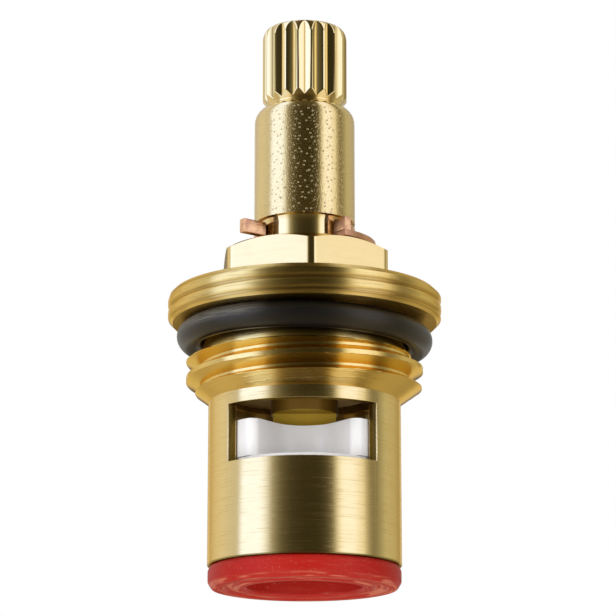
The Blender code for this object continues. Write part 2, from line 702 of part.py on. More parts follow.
def make_moving_disc(parts, cutters):
    """Butterfly disc that the tang turns over the fixed one."""
    disc = prism("moving_disc", [moving_disc_outline()], MOVING_DISC_BOTTOM, MOVING_DISC_TOP, parts)
    add_edge_bevel(disc, DISC_EDGE_BEVEL)
    slot_size = (
        TANG_LENGTH + 2 * RUNNING_CLEARANCE,
        TANG_THICKNESS + 2 * RUNNING_CLEARANCE,
        TANG_ENGAGEMENT + 2 * SEAT_GAP,
    )
    slot = block("tang_slot_cut", slot_size, TANG_BOTTOM - SEAT_GAP, cutters)
    combine(disc, slot, "DIFFERENCE", "tang slot")
    finish(disc, WHITE_CERAMIC, 0.15, 0.0)


def fixed_disc_outline():
    ear_radius = BARREL_BORE_RADIUS + DISC_KEYWAY_DEPTH - RUNNING_CLEARANCE
    right_ear = arc(ear_radius, 90.0 - DISC_EAR_HALF_ANGLE, 90.0 + DISC_EAR_HALF_ANGLE, 3)
    rear_rim = arc(FIXED_DISC_RADIUS, 90.0 + DISC_EAR_HALF_ANGLE, 270.0 - DISC_EAR_HALF_ANGLE, 18)
    half = right_ear + rear_rim
    return half + opposite(half)


def make_fixed_disc(parts):
    """Fixed disc with two ports, held from turning by ears in the barrel's keyways."""
    ports = opposite_sectors(PORT_INNER_RADIUS, PORT_OUTER_RADIUS, 0.0, PORT_HALF_ANGLE)
    disc = prism("fixed_disc", [fixed_disc_outline()] + ports, FIXED_DISC_BOTTOM, FIXED_DISC_TOP, parts)
    finish(disc, WHITE_CERAMIC, 0.15, 0.0)


def seal_profile():
    flange_top = SEAL_PROTRUSION - SEAT_GAP
    groove_outer = SEAL_FACE_RADIUS - SEAL_LIP_WIDTH
    groove_inner = SEAL_BORE_RADIUS + SEAL_LIP_WIDTH
    slope = SEAL_FACE_GROOVE_DEPTH
    return [
        (SEAL_POCKET_RADIUS, SEAL_LENGTH),
        (SEAL_SLEEVE_RADIUS, SEAL_LENGTH),
        (SEAL_SLEEVE_RADIUS, flange_top),
        (SEAL_RADIUS - EDGE_BREAK, flange_top),
        (SEAL_RADIUS, flange_top - CHAMFER),
        (SEAL_RADIUS, CHAMFER),
        (SEAL_FACE_RADIUS, 0.0),
        (groove_outer, 0.0),
        (groove_outer - slope, SEAL_FACE_GROOVE_DEPTH),
        (groove_inner + slope, SEAL_FACE_GROOVE_DEPTH),
        (groove_inner, 0.0),
        (SEAL_BORE_RADIUS + EDGE_BREAK, 0.0),
        (SEAL_BORE_RADIUS, EDGE_BREAK),
        (SEAL_BORE_RADIUS, SEAL_BOTTOM_THICKNESS),
        (SEAL_POCKET_RADIUS, SEAL_BOTTOM_THICKNESS),
    ]


def make_seal(parts):
    """Rubber seal that presses on the valve seat and on the fixed disc."""
    seal = turned("inlet_seal", seal_profile(), BODY_STEPS, parts)
    finish(seal, RED_RUBBER, 0.55, 0.0)


def make_support_ring(parts):
    """Stiff ring inside the seal, so that suction can't fold the rubber."""
    profile = ring_profile(
        SUPPORT_RING_BORE_RADIUS,
        SUPPORT_RING_RADIUS,
        SEAL_BOTTOM_THICKNESS + RUBBER_GAP,
        SEAL_LENGTH,
    )
    ring = turned("seal_support_ring", profile, BODY_STEPS, parts)
    finish(ring, WHITE_PLASTIC, 0.45, 0.0)


def main():
    clear_scene()
    parts = new_collection("ceramic_disc_cartridge")
    cutters = new_collection("cutters")
    make_body(parts, cutters)
    make_spindle(parts, cutters)
    make_spindle_rings(parts)
    make_body_ring(parts)
    make_friction_washer(parts)
    make_slip_washer(parts)
    make_retaining_clip(parts)
    make_moving_disc(parts, cutters)
    make_fixed_disc(parts)
    make_seal(parts)
    make_support_ring(parts)


main()
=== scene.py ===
"""Looks of a ceramic disc tap cartridge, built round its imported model.

Metres, +Z up the spindle, -Y towards the outlet window that faces the camera.
Angles round the axis are in degrees from the front, growing towards +X.
"""

import math

import bmesh
import bpy
from bpy.props import FloatProperty, FloatVectorProperty, IntProperty, PointerProperty
from bpy.types import Operator, Panel, PropertyGroup
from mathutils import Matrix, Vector


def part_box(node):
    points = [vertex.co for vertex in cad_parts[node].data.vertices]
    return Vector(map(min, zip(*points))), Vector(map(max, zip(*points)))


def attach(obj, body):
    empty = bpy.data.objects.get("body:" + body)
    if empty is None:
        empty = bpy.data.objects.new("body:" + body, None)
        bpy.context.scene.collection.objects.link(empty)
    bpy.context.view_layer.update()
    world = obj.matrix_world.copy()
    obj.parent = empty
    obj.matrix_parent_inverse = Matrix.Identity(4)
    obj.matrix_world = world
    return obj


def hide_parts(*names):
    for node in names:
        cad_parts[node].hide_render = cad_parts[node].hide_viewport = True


bl_info = {
    "name": "Tap cartridge looks",
    "version": (1, 0, 0),
    "blender": (4, 5, 0),
    "location": "3D View > Sidebar > Cartridge",
    "description": "Models the turned, stamped and moulded pieces of a ceramic disc tap cartridge",
    "category": "Add Mesh",
}

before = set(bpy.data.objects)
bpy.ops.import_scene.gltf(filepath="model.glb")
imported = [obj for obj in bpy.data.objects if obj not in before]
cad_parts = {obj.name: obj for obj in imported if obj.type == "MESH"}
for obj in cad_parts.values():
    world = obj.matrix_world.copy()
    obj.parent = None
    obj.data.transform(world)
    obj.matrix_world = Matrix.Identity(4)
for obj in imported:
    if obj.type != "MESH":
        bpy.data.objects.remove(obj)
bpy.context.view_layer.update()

MM = 0.001
STEPS = 360
ROW = 0.05 * MM
THREAD_ROW = 0.035 * MM
EASE = 0.05 * MM
MERGE = 0.000001
SMOOTH_ANGLE = math.radians(32.0)

# What the frame says about each piece
BODY_LOW, BODY_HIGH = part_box("body")
SPINDLE_LOW, SPINDLE_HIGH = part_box("spindle")
CLIP_LOW, CLIP_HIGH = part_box("retaining_clip")
WASHER_LOW, WASHER_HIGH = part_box("slip_washer")
RING_LOW, RING_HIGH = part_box("body_o_ring")
MOVING_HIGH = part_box("moving_disc")[1]
FIXED_LOW, FIXED_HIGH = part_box("fixed_disc")
SEAL_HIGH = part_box("inlet_seal")[1]


def length(name, description, value):
    return FloatProperty(name=name, description=description, default=value, min=0.0, unit="LENGTH", precision=5)


def place(name, description, value):
    return FloatProperty(name=name, description=description, default=value, unit="LENGTH", precision=5)


def turn(name, description, degrees):
    return FloatProperty(
        name=name, description=description, default=math.radians(degrees), subtype="ANGLE", unit="ROTATION"
    )


def colour(name, description, value):
    return FloatVectorProperty(
        name=name, description=description, default=value, size=3, min=0.0, max=1.0, subtype="COLOR"
    )


class BodySizes(PropertyGroup):
    """Sizes of the brass body."""

    flange_radius: length("Flange radius", "Over the ridges of the flange", BODY_HIGH.x)
    flange_bottom: length("Flange underside", "Height of the flange's underside", 23.5 * MM)
    flange_top: length("Flange top", "Height of the flange's top face", 26.15 * MM)
    flange_chamfer: length("Flange chamfer", "Width of the flange's chamfers", 0.42 * MM)
    ridge_pitch: length("Ridge pitch", "Pitch of the fine ridges round the flange", 1.05 * MM)
    ridge_depth: length("Ridge depth", "Depth of the grooves between the ridges", 0.17 * MM)
    ridge_front: length("Ridge height", "Height of one ridge at the front", 24.44 * MM)
    hex_flats: length("Across flats", "Distance between opposite flats of the hexagon", 14.1 * MM)
    hex_corner: length("Corner radius", "Radius over the turned corners of the hexagon", 8.0 * MM)
    hex_turn: turn("Hexagon turn", "Angle of the front corner of the hexagon", 4.4)
    neck_radius: length("Neck radius", "Radius of the neck that holds the rubber ring", 8.95 * MM)
    thread_crest: length("Thread crest", "Radius over the crests of the thread", 10.42 * MM)
    thread_depth: length("Thread depth", "Depth of the pipe thread", 1.1 * MM)
    thread_flat: length("Crest width", "Width of the flat crest of the thread", 0.4 * MM)
    thread_root: length("Root width", "Width of the bottom of the thread's groove", 0.22 * MM)
    thread_burr: length("Thread burr", "Height of the burr along the crest's edges", 0.018 * MM)
    thread_pitch: length("Thread pitch", "Pitch of the right-hand pipe thread", 1.814 * MM)
    thread_front: length("Crest height", "Height of one thread crest at the front", 17.03 * MM)
    thread_top: length("Thread top", "Height where the thread runs out into the neck", 20.5 * MM)
    thread_bottom: length("Thread bottom", "Height where the lead-in cone meets the barrel", 16.35 * MM)
    barrel_radius: length("Barrel radius", "Outer radius of the barrel", 8.45 * MM)
    barrel_bore: length("Barrel bore", "Inner radius of the barrel", 7.55 * MM)
    window_half: turn("Window half angle", "Half the angle that a window spans", 49.0)
    window_turn: turn("Window turn", "How far the middle of a window is off the front", -2.0)
    window_bottom: length("Window bottom", "Height of the lower edge of the windows", 10.25 * MM)
    window_top: length("Window top", "Height of the upper edge of the windows", 15.25 * MM)


class SpindleSizes(PropertyGroup):
    """Sizes of the brass spindle."""

    head_radius: length("Head radius", "Over the crests of the spline", 3.83 * MM)
    root_radius: length("Root radius", "Radius of the valleys of the spline", 3.48 * MM)
    teeth: IntProperty(name="Teeth", description="Number of teeth of the spline", default=20, min=3)
    dome_height: length("Dome height", "Height of the rounded end of the head", 1.15 * MM)
    dome_width: length("Dome width", "Width of the rounded end of the head", 0.58 * MM)
    head_bottom: length("Head bottom", "Height of the lower end of the head", 43.95 * MM)
    stem_top: length("Stem top", "Height of the upper end of the stem", 43.4 * MM)
    stem_radius: length("Stem radius", "Radius of the stem", 4.5 * MM)
    stem_chamfer: length("Stem chamfer", "Width of the chamfer at the top of the stem", 0.85 * MM)
    shoulder: length("Shoulder", "Height of the lower end of the stem", 32.65 * MM)
    neck_radius: length("Neck radius", "Radius of the polished neck", 3.8 * MM)


class RubberSizes(PropertyGroup):
    """Sizes of the rubber pieces."""

    ring_tilt: turn("Ring tilt", "How far the rubber ring leans to one side in its groove", 1.2)
    seal_bore: length("Seal bore", "Radius of the bore of the seal", 5.05 * MM)
    seal_skirt: length("Seal skirt", "Height of the visible part of the seal", 1.91 * MM)


class Colours(PropertyGroup):
    """Colours of the finishes."""

    brass: colour("Brass", "Freshly turned brass", (0.84, 0.67, 0.32))
    brass_warm: colour("Warm brass", "Brass that has begun to tarnish", (0.72, 0.52, 0.20))
    brass_rich: colour("Rich brass", "Deeper brass of the flange and the thread", (0.81, 0.60, 0.21))
    # Painted shade: dark amber brass for the inside of the bore
    brass_inside_shade: colour("Stained brass", "Brass inside, with old grease on it", (0.36, 0.20, 0.04))
    # Painted shade: darker brass for the bottoms of the flange's grooves
    brass_groove_shade: colour("Groove", "Bottoms of the grooves round the flange", (0.40, 0.26, 0.075))
    brass_scored: colour("Scored brass", "Dark tool marks of the flange", (0.46, 0.31, 0.09))
    # Painted shade: very dark brass for the walls of the windows
    brass_wall_shade: colour("Sawn brass", "Walls of the windows", (0.16, 0.10, 0.018))
    brass_edge: colour("Barrel edge", "Lower edge of the barrel", (0.20, 0.21, 0.08))
    # Painted shade: dark brass for the spindle's lower end inside the body
    brass_foot_shade: colour("Foot", "Lower end of the spindle, inside", (0.27, 0.15, 0.02))
    # Painted reflection: bright amber for the tang between the disc's lobes
    brass_tang_reflection: colour("Tang", "Tang between the lobes of the disc", (0.80, 0.56, 0.07))
    brass_shine: colour("Brass shine", "Tint of the flattest reflections", (1.0, 0.80, 0.45))
    copper: colour("Copper alloy", "Stamped clip", (0.95, 0.60, 0.34))
    copper_dark: colour("Tarnished copper", "Washer and the clip's scuffed places", (0.66, 0.34, 0.20))
    black: colour("Black rubber", "Ring under the flange", (0.005, 0.0048, 0.0042))
    # Grey streaks of the black ring: partly rubbed dust, partly painted sheen
    dust_and_sheen: colour("Dust", "Grey rubbed streaks of the black ring", (0.12, 0.112, 0.094))
    black_shine: colour("Black shine", "Tint of the black ring's reflections", (1.0, 0.84, 0.58))
    red: colour("Red rubber", "Seal below the barrel", (0.335, 0.0065, 0.004))
    red_worn: colour("Scuffed rubber", "Rubbed places of the seal", (0.52, 0.15, 0.085))
    red_shine: colour("Red shine", "Tint of the seal's reflections", (1.0, 0.80, 0.60))
    ceramic: colour("Ceramic", "Lapped alumina discs", (0.86, 0.845, 0.83))
    ceramic_cloud: colour("Ceramic cloud", "Faint clouds of the discs", (0.74, 0.73, 0.77))
    plastic: colour("Plastic", "Washer and support ring inside", (0.78, 0.77, 0.72))
    plastic_cloud: colour("Plastic cloud", "Faint clouds of the plastic", (0.70, 0.68, 0.61))


class StageSizes(PropertyGroup):
    """Camera, light and floor."""

    camera_side: place("Camera side", "How far the camera stands to the right of the axis", 0.3 * MM)
    camera_distance: length("Camera distance", "Distance of the camera in front of the axis", 229.5 * MM)
    camera_height: place("Camera height", "Height of the camera, below the seal", -31.4 * MM)
    camera_pitch: turn("Camera pitch", "How far the camera looks up", 13.82)
    lens: FloatProperty(name="Lens", description="Focal length in millimetres", default=155.7, min=1.0)
    floor_height: place("Floor height", "Height of the floor, below the lamps", -450.0 * MM)
    low_height: place("Low lamp height", "Height of the lamp that shines up at the seal", -90.0 * MM)
    lamp_distance: length("Lamp distance", "Distance of the soft boxes", 0.6)
    left_lamp: FloatProperty(name="Left lamp", description="Brightness of the left soft box", default=2.75, min=0.0)
    right_lamp: FloatProperty(name="Right lamp", description="Brightness of the right one", default=1.75, min=0.0)
    top_lamp: FloatProperty(name="Top lamp", description="Brightness of the one overhead", default=2.8, min=0.0)
    low_lamp: FloatProperty(name="Low lamp", description="Brightness of the one below", default=1.0, min=0.0)


# Modelling by hand, in code


def deselect():
    if bpy.context.object is not None and bpy.context.object.mode != "OBJECT":
        bpy.ops.object.mode_set(mode="OBJECT")
    bpy.ops.object.select_all(action="DESELECT")


def take(obj):
    deselect()
    obj.select_set(True)
    bpy.context.view_layer.objects.active = obj


def edit(obj, select="EDGE"):
    take(obj)
    bpy.ops.object.mode_set(mode="EDIT")
    bpy.ops.mesh.select_mode(type=select)
    bpy.ops.mesh.select_all(action="DESELECT")


def choose(obj, elements, rule):
    """Select the vertices, edges or faces of a mesh in edit mode that a rule picks."""
    mesh = bmesh.from_edit_mesh(obj.data)
    chosen = 0
    for element in getattr(mesh, elements):
        pick = rule(element)
        element.select_set(pick)
        chosen += pick
    mesh.select_flush_mode()
    bmesh.update_edit_mesh(obj.data)
    if not chosen:
        raise RuntimeError(f"nothing to select on {obj.name}")


def polar(radius, degrees, height=0.0):
    angle = math.radians(degrees)
    return Vector((radius * math.sin(angle), -radius * math.cos(angle), height))


def radius_of(point):
    return math.hypot(point.x, point.y)


def angle_of(point):
    return math.degrees(math.atan2(point.x, -point.y))


def draw_line(name, points):
    """Draw a line from point to point with the extrude tool, and stay in edit mode."""
    deselect()
    bpy.ops.mesh.primitive_plane_add(size=MM, location=points[0])
    obj = bpy.context.object
    obj.name = name
    obj.data.name = name
    bpy.ops.object.mode_set(mode="EDIT")
    bpy.ops.mesh.select_mode(type="VERT")
    bpy.ops.mesh.select_all(action="SELECT")
    bpy.ops.mesh.merge(type="CENTER")
    for here, there in zip(points, points[1:]):
        bpy.ops.mesh.extrude_region_move(TRANSFORM_OT_translate={"value": there - here})
    bpy.ops.mesh.select_all(action="SELECT")
    return obj


def settle(obj):
    """Put the object's own origin at the world's origin, with its place in its mesh."""
    take(obj)
    bpy.ops.object.transform_apply(location=True, rotation=True, scale=True)


def spin_piece(name, profile):
    """Turn a profile of (radius, height) points about the axis."""
    obj = draw_line(name, [Vector((radius, 0.0, height)) for radius, height in profile])
    bpy.ops.mesh.spin(steps=STEPS, angle=math.tau, center=(0.0, 0.0, 0.0), axis=(0.0, 0.0, 1.0))
    bpy.ops.mesh.select_all(action="SELECT")
    bpy.ops.mesh.remove_doubles(threshold=MERGE)
    bpy.ops.mesh.normals_make_consistent(inside=False)
    settle(obj)
    return obj


def plate(name, outline, bottom, top, ease):
    """Fill a flat outline, raise it to its thickness and ease its rims."""
    points = [Vector((point.x, point.y, bottom)) for point in outline]
    obj = draw_line(name, points + points[:1])
    bpy.ops.mesh.remove_doubles(threshold=MERGE)
    bpy.ops.mesh.select_all(action="SELECT")
    bpy.ops.mesh.edge_face_add()
    bpy.ops.mesh.extrude_region_move(TRANSFORM_OT_translate={"value": (0.0, 0.0, top - bottom)})
    bpy.ops.mesh.select_all(action="SELECT")
    bpy.ops.mesh.normals_make_consistent(inside=False)
    settle(obj)
    if ease:
        edit(obj)
        choose(obj, "edges", lambda edge: abs(edge.verts[0].co.z - edge.verts[1].co.z) < MERGE)
        bpy.ops.mesh.bevel(offset=ease, segments=3, affect="EDGES")
        deselect()
    return obj


def carve(obj, cutter, operation="DIFFERENCE"):
    """Cut one piece with another and throw the cutter away."""
    take(obj)
    bpy.ops.object.modifier_add(type="BOOLEAN")
    step = obj.modifiers[-1]
    step.object = cutter
    step.operation = operation
    step.solver = "EXACT"
    bpy.ops.object.modifier_apply(modifier=step.name)
    take(cutter)
    bpy.ops.object.delete()


def reshape(obj, rule):
    """Move each vertex by a rule on its radius, angle and height."""
    for vertex in obj.data.vertices:
        radius = radius_of(vertex.co)
        if radius < MERGE:
            continue
        angle = angle_of(vertex.co)
        moved = rule(radius, angle, vertex.co.z)
        if moved is not None:
            vertex.co = polar(moved[0], angle, moved[1])
    obj.data.update()


def complete(obj, body, material_slot, finish, *nodes):
    """Shade the piece, give it its finish and let it ride in the place of CAD nodes."""
    take(obj)
    bpy.ops.object.shade_smooth_by_angle(angle=SMOOTH_ANGLE)
    obj.data.materials.clear()
    obj.data.materials.append(finish)
    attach(obj, body)
    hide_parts(*nodes)
    deselect()


# Profiles


def line(start, end, count):
    """Points from one point of a profile to another, without the last one."""
    return [
        (start[0] + (end[0] - start[0]) * i / count, start[1] + (end[1] - start[1]) * i / count)
        for i in range(count)
    ]


def rows(start, end):
    """Points along a stretch of a profile, one fine row apart."""
    return line(start, end, max(1, round(math.dist(start, end) / ROW)))


def eased(before, corner, after, ease=EASE):
    """A rounded corner of a profile, as three points."""
    corner = Vector(corner)
    first = corner + (Vector(before) - corner).normalized() * ease
    last = corner + (Vector(after) - corner).normalized() * ease
    middle = (first + corner * 2.0 + last) / 4.0
    return [tuple(first), tuple(middle), tuple(last)]


def softened(points, closed=True):
    """Round every corner of a profile whose third value says how far."""
    done = []
    for i, point in enumerate(points):
        ease = point[2] if len(point) > 2 else 0.0
        if not ease:
            done.append(point[:2])
            continue
        done += eased(points[i - 1][:2], point[:2], points[(i + 1) % len(points)][:2], ease)
    if closed:
        done.append(done[0])
    return done


def scallop(distance, pitch):
    """How deep a rounded thread is at a distance from its crest, from 0 to 1."""
    turns = distance / pitch
    turns -= round(turns)
    return math.sin(math.pi * turns) ** 2


# Shaders


class Value:
    """A socket of a shader, with its sums and products written as Python."""

    def __init__(self, finish, socket):
        self.finish = finish
        self.socket = socket

    def __add__(self, other):
        return self.finish.maths("ADD", self, other)

    def __radd__(self, other):
        return self.finish.maths("ADD", other, self)

    def __sub__(self, other):
        return self.finish.maths("SUBTRACT", self, other)

    def __rsub__(self, other):
        return self.finish.maths("SUBTRACT", other, self)

    def __mul__(self, other):
        return self.finish.maths("MULTIPLY", self, other)

    def __rmul__(self, other):
        return self.finish.maths("MULTIPLY", other, self)

    def __truediv__(self, other):
        return self.finish.maths("DIVIDE", self, other)


class Finish:
    """A node material, or the world's nodes, under construction."""

    def __init__(self, name, tree=None):
        self.material = None
        if tree is None:
            self.material = bpy.data.materials.new(name)
            self.material.use_nodes = True
            tree = self.material.node_tree
        self.tree = tree

    def plug(self, socket, value):
        if isinstance(value, Value):
            self.tree.links.new(value.socket, socket)
        elif hasattr(value, "__len__") and socket.type == "RGBA" and len(value) == 3:
            socket.default_value = (*value, 1.0)
        else:
            socket.default_value = value

    def node(self, kind, settings, sockets, output=0):
        """Add a node: first its settings, then the values or links of its sockets."""
        made = self.tree.nodes.new(kind)
        for name, value in settings.items():
            if name == "stops":
                ramp = made.color_ramp
                while len(ramp.elements) < len(value):
                    ramp.elements.new(1.0)
                for element, (position, tone) in zip(ramp.elements, value):
                    element.position = position
                    element.color = (*tone, 1.0)
            else:
                setattr(made, name, value)
        for key, value in sockets.items():
            self.plug(made.inputs[key], value)
        return Value(self, made.outputs[output])

    def maths(self, operation, *values, clamp=False):
        return self.node("ShaderNodeMath", {"operation": operation, "use_clamp": clamp}, dict(enumerate(values)))

    def vector(self, x, y, z):
        return self.node("ShaderNodeCombineXYZ", {}, {0: x, 1: y, 2: z})

    def axes(self):
        """Object coordinates in millimetres, as x, y and z."""
        spot = self.node("ShaderNodeTexCoord", {}, {}, output=3)
        split = self.tree.nodes.new("ShaderNodeSeparateXYZ")
        self.plug(split.inputs[0], spot)
        return [Value(self, split.outputs[i]) / MM for i in range(3)]

    def noise(self, vector, scale, detail=2.0, roughness=0.5):
        sockets = {"Vector": vector, "Scale": scale, "Detail": detail, "Roughness": roughness}
        return self.node("ShaderNodeTexNoise", {"noise_dimensions": "3D"}, sockets)

    def cells(self, vector, scale, randomness):
        """Distance to the nearest of scattered points of a plane."""
        sockets = {"Vector": vector, "Scale": scale, "Randomness": randomness}
        return self.node("ShaderNodeTexVoronoi", {"voronoi_dimensions": "2D", "feature": "F1"}, sockets)

    def between(self, value, low, high):
        """A value's place between two others, as a share from 0 to 1."""
        sockets = {"Value": value, "From Min": low, "From Max": high}
        return self.node("ShaderNodeMapRange", {"interpolation_type": "SMOOTHSTEP"}, sockets)

    def blend(self, factor, first, second, mode="MIX"):
        """Mix two colours."""
        settings = {"data_type": "RGBA", "blend_type": mode}
        return self.node("ShaderNodeMix", settings, {0: factor, 6: first, 7: second}, output=2)

    def bump(self, height, distance):
        return self.node("ShaderNodeBump", {}, {"Strength": 1.0, "Distance": distance, "Height": height})

    def surface(self, **values):
        """Set or link the sockets of the material's shader."""
        shader = self.tree.nodes["Principled BSDF"]
        for name, value in values.items():
            self.plug(shader.inputs[name.replace("_", " ").title().replace("Ior", "IOR")], value)
        return self.material


def palette():
    return bpy.context.scene.cartridge_colours


def ring_marks(finish, x, y, z, radius, fine, along=0.3):
    """Fine rings left by a lathe tool: they follow the height on a barrel and the radius on a face."""
    return finish.noise(finish.vector(x * along, y * along, (z + radius) * fine), 1.0, detail=3.0, roughness=0.65)


def step_up(finish, value, edge, width=0.1):
    """0 below an edge and 1 above it."""
    return finish.between(value, edge - width / 2, edge + width / 2)


def step_down(finish, value, edge, width=0.1):
    """1 below an edge and 0 above it."""
    return 1.0 - step_up(finish, value, edge, width)


BRUSHED = {"anisotropic": 0.9, "anisotropic_rotation": 0.25}


def turned_brass():
    """Bright brass: brushed barrel, crisp thread and flange, with painted shade inside the bore, on the window
    walls and in the flange's grooves.
    """
    finish = Finish("turned_brass")
    x, y, z = finish.axes()
    sizes = bpy.context.scene.cartridge_body
    radius = finish.maths("SQRT", x * x + y * y)
    on_hexagon = step_up(finish, z, sizes.flange_top / MM + 0.06)
    on_barrel = step_down(finish, z, sizes.thread_bottom / MM)
    rich = (1.0 - on_hexagon) * (1.0 - on_barrel)
    face = radius * (1.0 - on_hexagon)
    marks = ring_marks(finish, x, y, z, face, 8.0)
    bands = ring_marks(finish, x, y, z, face, 2.2, 0.15)
    scratches = ring_marks(finish, x, y, z, face, 14.0, 0.5)
    streaks = finish.between(marks * 0.5 + bands * 0.25 + scratches * 0.25, 0.38, 0.64)
    tarnish = finish.between(finish.noise(finish.vector(x, y, z), 0.45, detail=4.0, roughness=0.6), 0.5, 0.8)
    bore, rim = sizes.barrel_bore / MM, sizes.barrel_radius / MM
    low, high = sizes.window_bottom / MM, sizes.window_top / MM
    in_wall = step_up(finish, radius, bore + 0.08, 0.04) * step_down(finish, radius, rim - 0.08, 0.04)
    beside = step_up(finish, z, low - 0.1) * step_down(finish, z, high + 0.1)
    inside = step_down(finish, radius, bore) * step_down(finish, z, 20.4, 0.3)
    edge = step_down(finish, z, 2.06, 0.12) * step_up(finish, radius, rim - 0.15)
    crest = sizes.flange_radius / MM
    on_flange = step_up(finish, z, 23.3) * (1.0 - on_hexagon)
    on_side = step_up(finish, z, 23.7) * step_down(finish, z, 25.9) * step_up(finish, radius, crest - 0.3)
    # Painted shade in the grooves between the flange's ridges
    grooves = (1.0 - finish.between(radius, crest - 0.15, crest - 0.03)) * on_side
    tint = finish.blend(tarnish * 0.2 + streaks * 0.2, palette().brass, palette().brass_warm)
    tint = finish.blend(rich, tint, finish.blend(streaks * 0.4, palette().brass_rich, palette().brass_warm))
    tint = finish.blend(grooves * 0.6, tint, palette().brass_groove_shade)
    dark_marks = finish.between(marks, 0.5, 0.64) * on_flange
    tint = finish.blend(dark_marks * 0.5, tint, palette().brass_scored)
    # Painted shade inside the bore, where metallic is also lowered
    tint = finish.blend(inside, tint, palette().brass_inside_shade)
    # Painted shade on the walls of the windows
    tint = finish.blend(in_wall * beside, tint, palette().brass_wall_shade)
    tint = finish.blend(edge * 0.7, tint, palette().brass_edge)
    scored = finish.between(marks * 0.6 + scratches * 0.4, 0.5, 0.72)
    rough_barrel = 0.05 + streaks * 0.05 + scored * 0.2
    roughness = 0.12 + streaks * 0.05 + on_flange * 0.15 + on_barrel * rough_barrel + in_wall * beside * 0.2
    normal = finish.bump(marks * 0.7 + bands * 0.5 + scratches * 0.3, 0.009 * MM)
    return finish.surface(
        metallic=1.0 - inside * 0.6,
        base_color=tint,
        roughness=roughness,
        normal=normal,
        specular_tint=palette().brass_shine,
        **BRUSHED,
    )


def pitted_brass():
    """Brass of the spindle: small pits all over the stem, polished above and below it, with painted shade on its
    lower end inside and a painted reflection on the tang.
    """
    finish = Finish("pitted_brass")
    x, y, z = finish.axes()
    spot = finish.vector(x, y, z)
    sizes = bpy.context.scene.cartridge_spindle
    top = (sizes.stem_top - sizes.stem_chamfer) / MM
    on_stem = step_up(finish, z, sizes.shoulder / MM, 0.04) * step_down(finish, z, top + 0.1, 0.08)
    marks = ring_marks(finish, x, y, z, 0.0, 7.0)
    cloud = finish.between(finish.noise(spot, 0.5, detail=4.0, roughness=0.6), 0.45, 0.75)
    unrolled = finish.maths("ARCTAN2", x, y * -1.0) * (sizes.stem_radius / MM)
    pits = (1.0 - finish.between(finish.cells(finish.vector(unrolled, z, 0.0), 1.7, 0.9), 0.07, 0.15)) * on_stem
    pricks = finish.cells(finish.vector(unrolled + 3.3, z, 0.0), 3.7, 1.0)
    pricks = (1.0 - finish.between(pricks, 0.08, 0.2)) * on_stem
    ripple = finish.noise(spot, 3.2, detail=2.0)
    inside = step_down(finish, z, 17.5, 0.4)
    tint = finish.blend(cloud * 0.15 + on_stem * 0.2, palette().brass, palette().brass_warm)
    # Painted shade on the lower end of the spindle, where metallic is also lowered
    tint = finish.blend(inside, tint, palette().brass_foot_shade)
    # Painted reflection on the tang
    tang_reflection_mask = step_down(finish, z, JOURNAL_BOTTOM / MM)
    tint = finish.blend(tang_reflection_mask, tint, palette().brass_tang_reflection)
    roughness = 0.09 + marks * 0.04 + on_stem * (0.10 + marks * 0.06) + inside * 0.42
    height = marks * 0.004 - pits * 0.03 - pricks * 0.006 + ripple * on_stem * 0.007
    normal = finish.bump(height, MM)
    metallic = 1.0 - inside * 0.55
    return finish.surface(metallic=metallic, base_color=tint, roughness=roughness, normal=normal, **BRUSHED)


def copper_alloy(name, worn):
    """Stamped strip: faint rolling lines, tarnish in blotches, brighter where it is rubbed."""
    finish = Finish(name)
    x, y, z = finish.axes()
    spot = finish.vector(x, y, z)
    rolled = finish.noise(finish.vector(x * 0.6, y * 0.6, z * 9.0), 1.0, detail=3.0)
    blotch = finish.noise(spot, 1.3, detail=4.0, roughness=0.6)
    tarnish = finish.between(blotch, 0.35, 0.7) * (1.0 - worn) + worn
    tint = finish.blend(tarnish, palette().copper, palette().copper_dark)
    normal = finish.bump(rolled + blotch * 0.5, 0.012 * MM)
    return finish.surface(metallic=1.0, base_color=tint, roughness=0.24 + tarnish * 0.14, normal=normal)


def black_rubber():
    """Nitrile ring: satin, grey in streaks along its upper side on the left, partly rubbed dust and partly painted
    sheen.
    """
    finish = Finish("black_rubber")
    x, y, z = finish.axes()
    angle = finish.maths("ARCTAN2", x, y * -1.0)
    flow = finish.noise(finish.vector(angle * 4.0, z * 9.0, 0.0), 1.0, detail=4.0, roughness=0.6)
    middle = (RING_LOW.z + RING_HIGH.z) / 2 / MM
    # The grey streaks are kept to the upper left, where the left lamp's light falls: partly rubbed dust, partly
    # painted sheen
    upper = step_up(finish, z, middle + 0.1, 0.7)
    left = finish.between(angle, -1.9, -1.2) * (1.0 - finish.between(angle, -0.55, -0.25))
    rubbed = finish.between(flow, 0.30, 0.62) * upper * left
    tint = finish.blend(rubbed, palette().black, palette().dust_and_sheen)
    normal = finish.bump(flow + finish.noise(finish.vector(x, y, z), 6.0) * 0.3, 0.02 * MM)
    return finish.surface(
        base_color=tint, roughness=0.33 + rubbed * 0.25, normal=normal, specular_tint=palette().black_shine
    )


